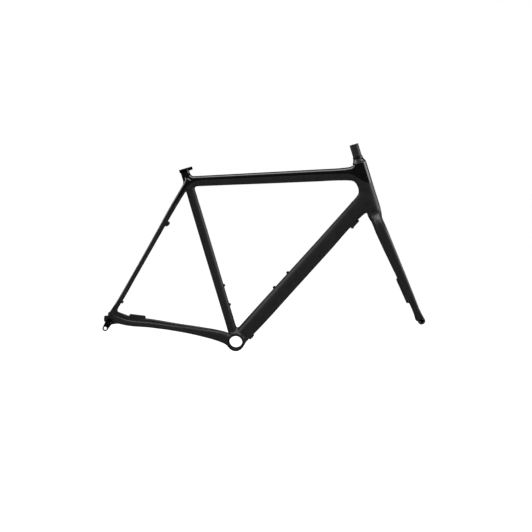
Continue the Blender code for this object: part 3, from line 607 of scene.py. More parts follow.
def down_tube():
    rows = [
        (0.006, 0.0, 0.0480, 0.054), (0.080, 0.001, 0.0520, 0.054),
        (0.250, 0.0007, 0.0522, 0.050), (0.420, 0.0003, 0.0518, 0.047),
        (0.540, -0.0008, 0.0518, 0.044), (0.625, 0.003, 0.0600, 0.040),
    ]
    return Tube([(*(DOWN_ALONG * distance + DOWN_OUT * drop), depth, width)
                 for distance, drop, depth, width in rows])


TOP_TUBE = [
    (-0.152, 0, 0.5128, 0.0328, 0.0330),
    (-0.060, 0, 0.5172, 0.0340, 0.0350),
    (0.100, 0, 0.5246, 0.0364, 0.0360),
    (0.250, 0, 0.5318, 0.0385, 0.0380),
    (0.345, 0, 0.5366, 0.0405, 0.0400),
    (0.398, 0, 0.5395, 0.0490, 0.0400),
]


def head_tube():
    rows = [
        (HEAD_BOTTOM - OVERRUN, 0.0232), (HEAD_BOTTOM, 0.0234),
        ((HEAD_BOTTOM + HEAD_TOP) / 2, 0.0228),
        (HEAD_TOP, 0.0225), (HEAD_TOP + OVERRUN, 0.0225),
    ]
    return Tube([(*in_steering(0, 0, up), 2 * radius, 2 * radius) for up, radius in rows], power=2.0)


def on_side(side, rows):
    """Rows of (x, y, z, depth, width), taken to one side of the frame."""
    return [(x, side * y, z, depth, width) for x, y, z, depth, width in rows]


def seatstay_stations(side):
    end = REAR_AXLE + SEATSTAY_END
    bend = end + SEATSTAY_BEND * SEATSTAY_AIM
    inside = end - STAY_TAIL * SEATSTAY_AIM
    return on_side(side, [
        (-0.1500, 0.0112, 0.5150, 0.0190, 0.0175),
        (-0.1995, 0.0185, 0.4332, 0.0168, 0.0165),
        (-0.2440, 0.0300, 0.3545, 0.0142, 0.0145),
        (-0.3278, 0.0550, 0.2072, 0.0116, 0.0130),
        (bend.x, 0.0748, bend.z, 0.0114, 0.0120),
        (end.x, DROPOUT_Y, end.z, 0.0116, 0.0095),
        (inside.x, DROPOUT_Y, inside.z, 0.0100, 0.0070),
    ])


def chainstay_stations(side):
    end = REAR_AXLE + CHAINSTAY_END
    inside = end - STAY_TAIL * CHAINSTAY_AIM
    return on_side(side, [
        (-0.0120, 0.0235, 0.0040, 0.0360, 0.0210),
        (-0.0500, 0.0290, 0.0180, 0.0310, 0.0190),
        (-0.1100, 0.0345, 0.0322, 0.0240, 0.0165),
        (-0.1860, 0.0460, 0.0458, 0.0178, 0.0155),
        (-0.2700, 0.0620, 0.0588, 0.0172, 0.0145),
        (-0.3480, 0.0745, 0.0682, 0.0186, 0.0130),
        (end.x, DROPOUT_Y, end.z, 0.0192, 0.0100),
        (inside.x, DROPOUT_Y, inside.z, 0.0150, 0.0070),
    ])


def arc(centre, radius, start, end, steps):
    """Points on a circle from one angle in degrees to another."""
    angles = [math.radians(start + (end - start) * i / steps) for i in range(steps + 1)]
    return [(centre[0] + radius * math.cos(a), centre[1] + radius * math.sin(a)) for a in angles]


def dropout(side):
    """A plate from both stays to a boss round the axle, seen relative to the axle."""
    chain, seat = CHAINSTAY_END, SEATSTAY_END
    outline = [(chain.x + 0.006, chain.z - 0.0096), (chain.x + 0.006, chain.z + 0.0092)]
    outline += arc((0.0196, 0.0240), 0.0062, 262, 165, 6)
    outline += [(seat.x + 0.0070, seat.z + 0.004), (seat.x + 0.0008, seat.z + 0.008)]
    outline += [(-0.0016, 0.0188)]
    outline += arc((-0.0118, 0.0128), 0.0058, 85, 180, 5)
    outline += [(-0.0176, 0.0006)]
    outline += arc((0.0, 0.0), 0.0112, 215, 290, 8)
    shifted = [(REAR_AXLE.x + x, REAR_AXLE.z + z) for x, z in outline]
    return Plate(shifted, side * DROPOUT_Y, DROPOUT_THICKNESS, 0.0030)


def pad_place(mount, x_axis):
    """A frame on a stated brake pad, with its Y axis across the bicycle."""
    return basis(Vector(MOUNTS[mount]["pos_m"]), x_axis, (-x_axis.z, 0, x_axis.x))


def rear_brake_place():
    """The frame of the pad on the left chainstay: X along the stay, Z up."""
    stay = chainstay_stations(SIDES["left"])
    return pad_place("rear_brake_pad", (on_plane(stay[4]) - on_plane(stay[5])).normalized())


def front_brake_place():
    """The frame of the pad behind the left blade: X away from the blade, Z up it."""
    return pad_place("front_brake_pad", Vector(MOUNTS["front_brake_pad"]["axis"]))


def block_in(place, size, centre, rounding):
    axes = [place.to_3x3().col[i] for i in range(3)]
    return Block(place @ Vector(centre), axes, size, rounding)


def crosswise(centre, reach, depth, width, width_along):
    """A tube from one side of the frame to the other."""
    stations = [(centre.x, y, centre.z, depth, width) for y in (-reach, 0, reach)]
    return Tube(stations, power=2.0, width_along=width_along)


def frame_skin():
    skin = Skin()
    shell_size = 2 * SHELL_RADIUS
    shell = crosswise(Vector(), SHELL_HALF_WIDTH + 0.004, shell_size, shell_size, (1, 0, 0))
    skin.add("bottom_bracket_shell", shell, 0.004)
    skin.add("down_tube", down_tube(), 0.010)
    skin.add("seat_tube", seat_tube(), 0.012)
    skin.add("head_tube", head_tube(), 0.010)
    skin.add("top_tube", Tube(TOP_TUBE), 0.012)
    top_along = Vector(TOP_TUBE[5][:3]) - Vector(TOP_TUBE[3][:3])
    skin.add("head_tube", Web(top_along.normalized()), 0.005)
    for name, side in SIDES.items():
        skin.add(f"chainstay_{name}", Tube(chainstay_stations(side)), 0.010)
        skin.add(f"seatstay_{name}", Tube(seatstay_stations(side)), 0.011)
    skin.add("seatstay_bridge", crosswise(BRIDGE_SPOT, 0.027, 0.0090, 0.0150, SEATSTAY_AIM), 0.006)
    for name, side in SIDES.items():
        skin.add(f"dropout_{name}", dropout(side), 0.004)
    pad = block_in(rear_brake_place(), (0.052, 0.013, 0.0090), (0, 0, -0.0045), 0.0022)
    skin.add("rear_brake_mount", pad, 0.005)
    return skin


def fork_blade_stations(side):
    rows = [
        (0.0012, 0.0300, 0.346, 0.0320, 0.0180),
        (0.0032, 0.0378, 0.326, 0.0345, 0.0285),
        (0.0090, 0.0428, 0.273, 0.0336, 0.0245),
        (0.0190, 0.0480, 0.191, 0.0285, 0.0205),
        (0.0294, 0.0530, 0.109, 0.0226, 0.0170),
        (0.0394, 0.0567, 0.020, 0.0168, 0.0142),
    ]
    return [(*in_steering(ahead, side * across, up), depth, width)
            for ahead, across, up, depth, width in rows]


def fork_end(side):
    """A round boss on the axle with a short neck up into the blade."""
    neck = 0.034
    outline = arc((FORK_RAKE, 0), FORK_END_RADIUS, 180, 360, 14)
    outline += [(0.0462, neck), (0.0310, neck)]
    spots = [in_steering(ahead, 0, up) for ahead, up in outline]
    y_middle = side * (FORK_INNER_Y + FORK_END_THICKNESS / 2)
    return Plate([(spot.x, spot.z) for spot in spots], y_middle, FORK_END_THICKNESS, 0.0040)


def fork_skin():
    skin = Skin()
    crown = [
        (0.0000, CROWN_TOP + OVERRUN, 0.0460, 0.0464),
        (0.0000, CROWN_TOP, 0.0460, 0.0464),
        (0.0000, 0.3640, 0.0446, 0.0540),
        (0.0004, 0.3500, 0.0395, 0.0800),
        (0.0018, 0.3360, 0.0350, 0.0970),
        (0.0046, CROWN_FOOT, 0.0325, 0.0960),
        (0.0066, CROWN_FOOT - 0.018, 0.0260, 0.0880),
    ]
    rows = [(*in_steering(ahead, 0, up), depth, width) for ahead, up, depth, width in crown]
    skin.add("fork_crown", Tube(rows, power=2.3), 0.004)
    for name, side in SIDES.items():
        skin.add(f"fork_blade_{name}", Tube(fork_blade_stations(side)), 0.009)
        skin.add(f"fork_end_{name}", fork_end(side), 0.003)
    pad = block_in(front_brake_place(), (0.0078, 0.013, 0.086), (-0.0039, 0, 0), 0.0024)
    skin.add("front_brake_mount", pad, 0.006)
    skin.cut(Arch(), 0.007)
    return skin


# ---- from the field to pieces
GLOSS_EDGE = 0.00025  # half the width over which gloss fades to matte
GLOSS_BORDER = [
    (0.4700, 0.5085), (0.4246, 0.5091), (0.4118, 0.5117), (0.3994, 0.5181), (0.3890, 0.5255),
    (0.3779, 0.5322), (0.3660, 0.5362), (0.3526, 0.5378), (0.3174, 0.5372),
    (0.2500, 0.5348), (0.1000, 0.5276), (-0.0600, 0.5201), (-0.1120, 0.5170), (-0.1340, 0.5120),
    (-0.1510, 0.5000), (-0.1655, 0.4820), (-0.2010, 0.4330), (-0.2460, 0.3550), (-0.3290, 0.2080),
    (-0.3850, 0.1090), (-0.4400, 0.1230),
]


def border_distance(points):
    """How far each point lies above and behind the line where gloss meets matte."""
    line = np.array(GLOSS_BORDER)
    flat = points[:, [0, 2]]
    nearest = np.full(len(points), np.inf)
    signed = np.zeros(len(points))
    for start, end in zip(line[:-1], line[1:]):
        edge, offset = end - start, flat - start
        away = np.linalg.norm(off_segment(flat, start, end), axis=1)
        side = np.where(edge[0] * offset[:, 1] < edge[1] * offset[:, 0], 1, -1)
        closer = away < nearest
        signed[closer] = (away * side)[closer]
        nearest[closer] = away[closer]
    return signed


def read(items, name, kind=float, width=1):
    """One property of every item of a mesh, as an array."""
    values = np.zeros(len(items) * width, kind)
    items.foreach_get(name, values)
    return values.reshape(-1, width) if width > 1 else values


def shade_from_field(obj, skin):
    """Gives the skin the field's own normals; cut faces keep plain ones."""
    mesh = obj.data
    smooth_edges(obj, SKIN_ANGLE)
    value, slope = value_and_slope(skin, read(mesh.vertices, "co", width=3))
    normal = slope / np.maximum(np.linalg.norm(slope, axis=1, keepdims=True), 1e-9)
    corner_vertex = read(mesh.loops, "vertex_index", int)
    sizes = read(mesh.polygons, "loop_total", int)
    facing = np.repeat(read(mesh.polygons, "normal", width=3), sizes, axis=0)
    follows = (np.abs(value) < ON_SURFACE)[corner_vertex]
    follows &= (normal[corner_vertex] * facing).sum(axis=1) > 0.5
    starts = np.concatenate([[0], np.cumsum(sizes)[:-1]])
    follows = np.repeat(np.logical_and.reduceat(follows, starts), sizes)
    mesh.normals_split_custom_set(np.where(follows[:, None], normal[corner_vertex], 0).tolist())


def cutters_for_skins():
    """The bores, sawn ends and holes, listed by the node that they are cut from."""
    wide, far = 0.060, 0.05
    bore, seat, depth = HEAD_BORE_RADIUS, HEAD_SEAT_RADIUS, HEAD_SEAT_DEPTH
    rim, flare = 0.0236, 0.0536
    spool = cutter_from("head_spool", [
        (bore, HEAD_BOTTOM + depth), (bore, HEAD_TOP - depth), (seat, HEAD_TOP - depth),
        (seat, HEAD_TOP), (rim, HEAD_TOP), (flare, HEAD_TOP + 0.0165), (flare, HEAD_TOP + far),
    ], STEERING)
    foot = cutter_from("head_foot", [
        (wide, HEAD_BOTTOM - far), (wide, HEAD_BOTTOM), (seat, HEAD_BOTTOM),
        (seat, HEAD_BOTTOM + depth), (bore, HEAD_BOTTOM + depth + 0.0005),
    ], STEERING)
    crown_top = cutter_from("crown_top", [(wide, CROWN_TOP), (wide, CROWN_TOP + far)], STEERING)
    seat_top = cutter_from("seat_top", [
        (SEATPOST_RADIUS, 0.035), (SEATPOST_RADIUS, SEAT_TUBE_LENGTH),
        (wide, SEAT_TUBE_LENGTH), (wide, SEAT_TUBE_LENGTH + far),
    ], SEAT)
    half, middle = SHELL_HALF_WIDTH, across_at((0, 0, 0))
    shell = [cutter_from("shell_bore", [(SLEEVE_RADIUS, -0.08), (SLEEVE_RADIUS, 0.08)], middle)]
    for sign in (-1, 1):
        profile = [(SHELL_BORE_RADIUS, sign * half), (wide, sign * half), (wide, sign * (half + far))]
        shell.append(cutter_from(f"shell_end_{sign + 1}", profile, middle))
    cuts = {
        "head_tube": [spool, foot], "top_tube": [spool, seat_top], "down_tube": [shell[0]],
        "seat_tube": [seat_top, shell[0]], "bottom_bracket_shell": shell, "fork_crown": [crown_top],
    }
    ends = (
        ("dropout", REAR_AXLE, DROPOUT_INNER_Y, DROPOUT_THICKNESS, 0.0006),
        ("fork_end", FRONT_AXLE, FORK_INNER_Y, FORK_END_THICKNESS, 0.0008),
    )
    for name, side in SIDES.items():
        cuts[f"seatstay_{name}"] = [seat_top]
        cuts[f"chainstay_{name}"] = shell
        for word, axle, inner, thickness, chamfer in ends:
            low, high = sorted((side * inner, side * (inner + thickness)))
            hole = drill(f"{word}_hole_{name}", AXLE_HOLE_RADIUS, low, high, across_at(axle), chamfer)
            cuts[f"{word}_{name}"] = [hole]
    screw_place = across_at(on_plane(centre_of("hanger_screw")))
    deep = DROPOUT_INNER_Y + DROPOUT_THICKNESS + CLEAR
    cuts["dropout_right"].append(drill("hanger_screw_hole", SCREW_HOLE_RADIUS, -deep, 0, screw_place))
    upright = Matrix.Rotation(math.pi / 2, 4, "Y")
    for node, place, apart, turn, radius, low in (
        ("rear_brake_mount", rear_brake_place(), Vector((0.017, 0, 0)), Matrix(), 0.0027, -0.020),
        ("front_brake_mount", front_brake_place(), Vector((0, 0, 0.035)), upright, 0.0021, -0.015),
    ):
        spots = [place @ Matrix.Translation(sign * apart) @ turn for sign in (-1, 1)]
        cuts[node] = [drill(node + "_hole", radius, low, 0, spot, 0.0005) for spot in spots]
    return cuts


def skin_pieces(skin, cuts, paint):
    """Meshes a skin and makes one closed piece of it for each CAD node."""
    points, quads = surface_nets(skin)
    centres = points[quads].mean(axis=1)
    owner = in_chunks(lambda part: skin.measure(part, nodes=True), centres)
    names = np.array([node for node, _, _ in skin.shapes])[owner]
    for node in sorted(set(names)):
        vertices, faces = closed_patch(skin, points, quads[names == node])
        mesh = bpy.data.meshes.new(node + "_skin")
        mesh.from_pydata(vertices, [], faces)
        piece = new_object(node + "_skin", mesh)
        cut_away(piece, cuts.get(node, []), tangled=node.endswith("brake_mount"))
        shade_from_field(piece, skin)
        here = read(piece.data.vertices, "co", width=3)
        gloss = border_distance(here) if BODY_OF[node] == "frame" else np.full(len(here), ALL_MATTE)
        mark = piece.data.attributes.new("gloss_edge", "FLOAT", "POINT")
        mark.data.foreach_set("value", gloss.astype(np.float32))
        finish(piece, paint, node)


def finish(piece, material, node):
    """Gives a piece its material and its body, and hides the CAD node that it stands for."""
    piece.data.materials.clear()
    piece.data.materials.append(material)
    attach(piece, BODY_OF[node])
    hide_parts(node)


# ---- materials
NOISE_LOW, NOISE_HIGH = 0.3, 0.7  # the range that a noise keeps to, near enough


def feed(tree, socket, value):
    """Links a node's output to a socket, or gives the socket a constant."""
    if isinstance(value, bpy.types.NodeSocket):
        tree.links.new(value, socket)
    else:
        socket.default_value = value


def add_node(tree, kind, settings=(), **inputs):
    """A new node. Its inputs go by name, or by number after an underscore."""
    node = tree.nodes.new(kind)
    for key, value in dict(settings).items():
        setattr(node, key, value)
    for key, value in inputs.items():
        name = int(key[1:]) if key[1:].isdigit() else key.replace("_", " ")
        feed(tree, node.inputs[name], value)
    return node


class Graph:
    """A material's node tree, built by short calls."""

    def __init__(self, name, metallic=0.0, specular=0.5):
        self.material = bpy.data.materials.new(name)
        self.material.use_nodes = True
        self.tree = self.material.node_tree
        self.shader = self.tree.nodes["Principled BSDF"]
        self.shader.inputs["Metallic"].default_value = metallic
        self.shader.inputs["Specular IOR Level"].default_value = specular
        self.place = self.node("ShaderNodeTexCoord").outputs["Object"]

    def node(self, kind, settings=(), **inputs):
        return add_node(self.tree, kind, settings, **inputs)

    def noise(self, scale, detail=2.0, roughness=0.5):
        node = self.node("ShaderNodeTexNoise", Vector=self.place, Scale=scale, Detail=detail,
                         Roughness=roughness)
        return node.outputs["Fac"]

    def math(self, operation, *values):
        inputs = {f"_{i}": value for i, value in enumerate(values)}
        return self.node("ShaderNodeMath", {"operation": operation}, **inputs).outputs[0]

    def ramp(self, value, low, high, to_low=0.0, to_high=1.0):
        node = self.node("ShaderNodeMapRange", Value=value, From_Min=low, From_Max=high,
                         To_Min=to_low, To_Max=to_high)
        return node.outputs["Result"]

    def vary(self, noise, to_low=0.0, to_high=1.0):
        """A number between two limits that follows a noise."""
        return self.ramp(noise, NOISE_LOW, NOISE_HIGH, to_low, to_high)

    def blend(self, first, second, share):
        """Two noises in one, with a share of the first."""
        return self.math("MULTIPLY_ADD", first, share, self.math("MULTIPLY", second, 1 - share))

    def mix(self, factor, first, second):
        node = self.node("ShaderNodeMix", {"data_type": "RGBA"}, _0=factor, _6=first, _7=second)
        return node.outputs[2]

    def tones(self, noise, dark, light):
        """A colour between two greys that follows a noise."""
        return self.mix(self.vary(noise), (*dark, 1), (*light, 1))

    def bump(self, height, distance, strength):
        node = self.node("ShaderNodeBump", Height=height, Distance=distance, Strength=strength)
        return node.outputs["Normal"]

    def split(self):
        """The object's own x, y and z."""
        return self.node("ShaderNodeSeparateXYZ", Vector=self.place).outputs

    def done(self, colour, roughness, normal=None):
        feed(self.tree, self.shader.inputs["Base Color"], colour)
        feed(self.tree, self.shader.inputs["Roughness"], roughness)
        if normal is not None:
            feed(self.tree, self.shader.inputs["Normal"], normal)
        return self.material


def carbon_paint():
    """Satin black over carbon, with clear gloss lacquer above the painted border."""
    g = Graph("carbon_paint", specular=0.35)
    edge = g.node("ShaderNodeAttribute", {"attribute_name": "gloss_edge"}).outputs["Fac"]
    gloss = g.ramp(edge, -GLOSS_EDGE, GLOSS_EDGE)
    cloud = g.noise(38, 3)
    grain = g.noise(2600, 2, 0.6)
    speck = g.noise(900, 2, 0.55)
    peel = g.noise(240, 1)
    satin = g.tones(g.blend(grain, cloud, 0.6), (0.0072, 0.0073, 0.0078), (0.0112, 0.0113, 0.0119))
    lacquer = g.tones(cloud, (0.0016, 0.0016, 0.0018), (0.0028, 0.0028, 0.0031))
    rough_satin = g.ramp(g.math("ADD", speck, cloud), 0.7, 1.3, 0.36, 0.46)
    smoother = g.math("SUBTRACT", g.vary(cloud, 0.045, 0.075), rough_satin)
    roughness = g.math("ADD", rough_satin, g.math("MULTIPLY", gloss, smoother))
    matte_height = g.math("MULTIPLY", g.math("SUBTRACT", 1.0, gloss), g.math("ADD", grain, speck))
    height = g.math("MULTIPLY_ADD", gloss, g.math("MULTIPLY_ADD", peel, 0.35, 1.6), matte_height)
    return g.done(g.mix(gloss, satin, lacquer), roughness, g.bump(height, 0.000014, 0.7))


def turned_metal(name, dark, light, roughness, marks, metallic=1.0):
    """Metal turned about its own Z axis: rings of fine tool marks under a thin finish."""
    g = Graph(name, metallic)
    x, y, z = g.split()
    radius = g.math("SQRT", g.math("ADD", g.math("MULTIPLY", x, x), g.math("MULTIPLY", y, y)))
    along = g.node("ShaderNodeCombineXYZ", X=radius, Y=z).outputs[0]
    rings = g.node("ShaderNodeTexNoise", Vector=along, Scale=marks, Detail=2.0).outputs["Fac"]
    blend = g.blend(rings, g.noise(160, 3), 0.5)
    rough = g.vary(blend, roughness * 0.8, roughness * 1.25)
    return g.done(g.tones(blend, dark, light), rough, g.bump(rings, 0.000008, 0.5))


def blasted_metal(name, dark, light, roughness, metallic=1.0):
    """Bead-blasted and anodised aluminium, or a black finish on steel."""
    g = Graph(name, metallic)
    grain = g.noise(3200, 2, 0.6)
    cloud = g.noise(120, 3)
    colour = g.tones(g.blend(grain, cloud, 0.6), dark, light)
    rough = g.vary(cloud, roughness * 0.85, roughness * 1.2)
    return g.done(colour, rough, g.bump(grain, 0.000010, 0.6))


def moulded_plastic():
    g = Graph("moulded_plastic")
    pebble = g.node("ShaderNodeTexVoronoi", Vector=g.place, Scale=1500.0).outputs["Distance"]
    cloud = g.noise(90, 2)
    colour = g.tones(cloud, (0.0110, 0.0110, 0.0115), (0.0180, 0.0180, 0.0185))
    return g.done(colour, g.vary(cloud, 0.48, 0.62), g.bump(pebble, 0.00003, 0.5))


def woven_carbon():
    """Twill weave round a tube: tows along and across it pass over two and under two."""
    g = Graph("woven_carbon")
    tow = 0.0016
    x, y, z = g.split()
    around = g.math("DIVIDE", g.math("MULTIPLY", g.math("ARCTAN2", y, x), STEERER_RADIUS), tow)
    up = g.math("DIVIDE", z, tow)
    step = g.math("ADD", g.math("FLOOR", around), g.math("FLOOR", up))
    over = g.math("LESS_THAN", g.math("FLOORED_MODULO", step, 4.0), 1.5)
    near_u = g.math("ABSOLUTE", g.math("SUBTRACT", g.math("FRACT", around), 0.5))
    near_v = g.math("ABSOLUTE", g.math("SUBTRACT", g.math("FRACT", up), 0.5))
    crown = g.math("ADD", g.math("MULTIPLY", over, near_u),
                   g.math("MULTIPLY", g.math("SUBTRACT", 1.0, over), near_v))
    fibre = g.noise(2400, 2, 0.6)
    colour = g.mix(over, (0.006, 0.006, 0.0065, 1), (0.015, 0.015, 0.016, 1))
    height = g.math("SUBTRACT", g.math("MULTIPLY", fibre, 0.2), crown)
    rough = g.math("MULTIPLY_ADD", over, -0.10, 0.42)
    return g.done(colour, rough, g.bump(height, 0.00012, 0.6))


# ---- turned and milled pieces
def lathed(node, profile, place, material, segments=64, closed=True, edge=0.0003, cutters=(),
           name=None):
    """A turned piece that stands for a CAD node, with its edges rounded and its holes cut."""
    name = name or node + "_fine"
    shape = rounded_profile(profile, edge, closed)
    piece = new_object(name, lathe_mesh(name, shape, segments, closed), place)
    cut_away(piece, cutters)
    smooth_edges(piece, LATHE_ANGLE)
    finish(piece, material, node)


def slab(node, outline, low, high, place, bevel, steps, holes, material):
    """A piece that stands for a CAD node: a closed outline in the place's X and Y,
    extruded along its Z, with soft edges and holes."""
    count = len(outline)
    vertices = [(x, y, z) for z in (low, high) for x, y in outline]
    faces = [tuple(range(count)), tuple(range(count, 2 * count))]
    faces += [(i, (i + 1) % count, (i + 1) % count + count, i + count) for i in range(count)]
    piece = new_object(node + "_fine", mesh_of(node + "_fine", vertices, faces), place)
    modify(piece, "BEVEL", width=bevel, segments=steps, limit_method="ANGLE",
           angle_limit=math.radians(50))
    apply_modifiers(piece)
    cut_away(piece, holes)
    smooth_edges(piece, SLAB_ANGLE)
    finish(piece, material, node)


def hex_socket(place, across_flats, top, depth):
    """A six-sided key socket that goes down from the top of a bolt's head."""
    radius = across_flats / math.sqrt(3)
    return cutter_from("socket", [(radius, top - depth), (radius, top + 0.004)], place, segments=6)


SCREWS = {  # shank radius, depth, head radius, base, dome and key
    "bottle": (0.0023, 0.0085, 0.0045, 0.0022, 0.0030, 0.0030),
    "hanger": (0.0014, 0.0125, 0.0026, 0.0003, 0.0017, 0.0016),
    "port": (0.0015, 0.0080, 0.0028, 0.0001, 0.0015, 0.0020),
    "guide": (0.0017, 0.0065, 0.0031, 0.0024, 0.0015, 0.0020),
}


def socket_screw(node, place, kind, material):
    """A screw with a domed head over its base, a key socket and a washer face."""
    shank, depth, head, base, dome, key = SCREWS[kind]
    top, corner, core = base + dome, 0.0003, 0.0005
    profile = [
        (core, -depth), (shank - corner, -depth), (shank, -depth + corner), (shank, base),
        (head, base), (head, base + 0.35 * dome), (0.88 * head, base + 0.72 * dome),
        (0.66 * head, base + 0.93 * dome), (0.52 * head, top), (core, top),
    ]
    socket = hex_socket(place, key, top, 0.7 * dome + 0.0006)
    lathed(node, profile, place, material, 48, False, 0.0002, [socket])


def bottle_fittings(metal, steel):
    """Four threaded inserts and their bolts, at the stated bottle mounts."""
    flange = [
        (0.0027, -0.0090), (0.0039, -0.0090), (0.0039, 0.0002), (0.0058, -0.0004),
        (0.0057, 0.0012), (0.0049, 0.0019), (0.0027, 0.0019),
    ]
    for tube in ("down_tube", "seat_tube"):
        for word in ("lower", "upper"):
            mount = MOUNTS[f"{tube}_bottle_{word}"]
            out = Vector(mount["axis"])
            spot = Vector(mount["pos_m"]) - BOLT_HEAD_TOP * out
            place = basis(spot, (out.z, 0, -out.x), out)
            lathed(f"{tube}_{word}_bottle_insert", flange, place, metal, 48)
            socket_screw(f"{tube}_{word}_bottle_bolt", place, "bottle", steel)


def headset(metal, steel, carbon):
    """The cover, the crown race and the steerer, all turned about the steering axis."""
    base, height = HEAD_TOP + 0.0006, 0.0245
    inner = STEERER_RADIUS + 0.0003
    outside = [(0.0225, 0.0), (0.0225, 0.0022)]
    foot_radius, neck_radius, flare = 0.0220, 0.0160, 0.0165
    for step in range(13):
        t = step / 12
        ease = t * t * (3 - 2 * t)
        outside.append((foot_radius + (neck_radius - foot_radius) * ease**0.85, 0.0024 + flare * t))
    outside += [(0.0159, height - 0.0030), (0.0155, height)]
    inside = [(inner, height), (inner, 0.0125), (0.0165, 0.0090), (0.0200, 0.0030), (0.0207, 0.0)]
    profile = [(radius, base + up) for radius, up in outside + inside]
    lathed("headset_cover", profile, STEERING, metal, 96, edge=0.00025)
    seat, top = CROWN_TOP - 0.0017, HEAD_BOTTOM + 0.0003
    race = [
        (inner, seat), (0.0198, seat), (0.0198, seat + 0.0010), (0.0180, top - 0.0003),
        (0.0153, top), (0.0153, top + 0.0020), (inner, top + 0.0020),
    ]
    lathed("crown_race", race, STEERING, steel, 72, edge=0.0002)
    foot = CROWN_ARCH + 0.001
    sawn = [
        (STEERER_BORE_RADIUS, foot), (STEERER_RADIUS, foot),
        (STEERER_RADIUS, STEERER_TOP), (STEERER_BORE_RADIUS, STEERER_TOP),
    ]
    lathed("steerer_tube", sawn, STEERING, carbon, 72, edge=0.0005)


def shell_sleeve(metal):
    """The metal sleeve that is bonded into the bottom bracket shell."""
    half, lip, outer = SHELL_HALF_WIDTH, 0.0010, SLEEVE_RADIUS + 0.0004
    profile = [
        (SHELL_BORE_RADIUS, lip - half), (SHELL_BORE_RADIUS + lip, -half), (outer, -half),
        (outer, half), (SHELL_BORE_RADIUS + lip, half), (SHELL_BORE_RADIUS, half - lip),
    ]
    lathed("bottom_bracket_shell", profile, across_at((0, 0, 0)), metal, 96, edge=0.0002,
           name="shell_sleeve")


def seat_collar(metal, steel):
    """A split ring with two clamp ears ahead of it, and the bolt across them."""
    height, inner, outer = 0.0105, SEAT_TUBE_RADIUS + 0.0003, SEAT_TUBE_RADIUS + 0.0027
    slit, half_width, front = 0.0010, 0.0075, outer + 0.0093
    nose, ear_slope = 0.0035, 9  # an ear's corner, and the degrees over which it meets the ring
    base = SEAT @ Matrix.Translation((0, 0, SEAT_TUBE_LENGTH - height))
    slit_angle = math.degrees(math.asin(slit / inner))
    ear_angle = math.degrees(math.asin(half_width / outer)) + ear_slope
    outline = arc((0, 0), inner, 360 - slit_angle, slit_angle, 60)
    outline += [(front, slit)]
    outline += arc((front - nose, half_width - nose), nose, 0, 90, 6)
    outline += arc((0, 0), outer, ear_angle, 360 - ear_angle, 60)
    outline += arc((front - nose, nose - half_width), nose, 270, 360, 6)
    outline += [(front, -slit)]
    across = base @ basis((outer + 0.0058, 0, height / 2), (1, 0, 0), (0, -1, 0))
    holes = [drill("collar_hole", 0.0028, -0.02, 0.02, across)]
    slab("seat_collar", outline, 0, height, base, 0.0007, 3, holes, metal)
    reach, core = half_width + 0.0003, 0.0005
    top = reach + 0.0040
    head = [
        (core, -half_width), (0.0024, -half_width), (0.0024, reach), (0.0042, reach),
        (0.0042, top), (core, top),
    ]
    lathed("seat_collar_bolt", head, across, steel, 48, False, 0.0004,
           [hex_socket(across, 0.0040, top, 0.0026)])


def thru_axle(node, metal):
    """A hollow axle: head on the left with a key socket, thread at the right end."""
    low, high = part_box(node)
    place = across_at(on_plane(centre_of(node)))
    start, end = low[1], high[1]
    head, thread, pitch, depth = 0.0045, 0.0180, 0.0015, 0.0005
    shoulder = end - head
    profile = [(0.0032, start)]
    turns = int(thread / pitch)
    for i in range(turns):
        up = start + i * pitch
        profile += [(AXLE_RADIUS - depth, up + 0.0002), (AXLE_RADIUS, up + 0.5 * pitch),
                    (AXLE_RADIUS, up + 0.65 * pitch)]
    neck = start + turns * pitch
    profile += [
        (AXLE_RADIUS - depth, neck + 0.0004), (AXLE_RADIUS - depth, neck + 0.0012),
        (AXLE_RADIUS, neck + 0.0018), (AXLE_RADIUS, shoulder), (0.0085, shoulder),
        (0.0085, end - 0.0011), (0.0076, end), (0.0040, end), (0.0032, end - 0.0009),
    ]
    lathed(node, profile, place, metal, 64, True, 0.00012, [hex_socket(place, 0.0060, end, 0.0040)])


def link_outline(first, first_radius, second, second_radius, steps=18):
    """Two circles and their common tangents, as one outline."""
    span = Vector(second) - Vector(first)
    facing = math.degrees(math.atan2(span.y, span.x))
    lean = math.degrees(math.acos((first_radius - second_radius) / span.length))
    near = arc(first, first_radius, facing + lean, facing - lean + 360, steps)
    return near + arc(second, second_radius, facing - lean, facing + lean, steps)


def derailleur_hanger(metal, steel):
    """The plate outside the right dropout that carries the rear mech, and its screw."""
    low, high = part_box("derailleur_hanger")
    outside, inside = low[1], high[1]
    drop = (-0.0129, -0.0215)
    place = basis(REAR_AXLE, (1, 0, 0), (0, -1, 0))
    outline = link_outline((0, 0), 0.0110, drop, 0.0088)
    mech = across_at(REAR_AXLE + Vector((drop[0], 0, drop[1])))
    screw_spot = on_plane(centre_of("hanger_screw"))
    holes = [
        drill("hanger_axle_hole", AXLE_HOLE_RADIUS, outside, inside, across_at(REAR_AXLE), 0.0006),
        drill("mech_hole", 0.0050, outside, inside, mech, 0.0006),
        drill("screw_hole", SCREW_HOLE_RADIUS, outside, inside, across_at(screw_spot)),
    ]
    slab("derailleur_hanger", outline, -inside, -outside, place, 0.0009, 3, holes, metal)
    facing = basis(screw_spot + Vector((0, outside, 0)), (1, 0, 0), (0, -1, 0))
    socket_screw("hanger_screw", facing, "hanger", steel)


def stadium(length, width, nose, steps=8):
    """A rounded rectangle, seen from above."""
    x, y = length / 2 - nose, width / 2 - nose
    outline = []
    for corner, (sx, sy) in enumerate(((1, 1), (-1, 1), (-1, -1), (1, -1))):
        outline += arc((sx * x, sy * y), nose, 90 * corner, 90 * corner + 90, steps)
    return outline


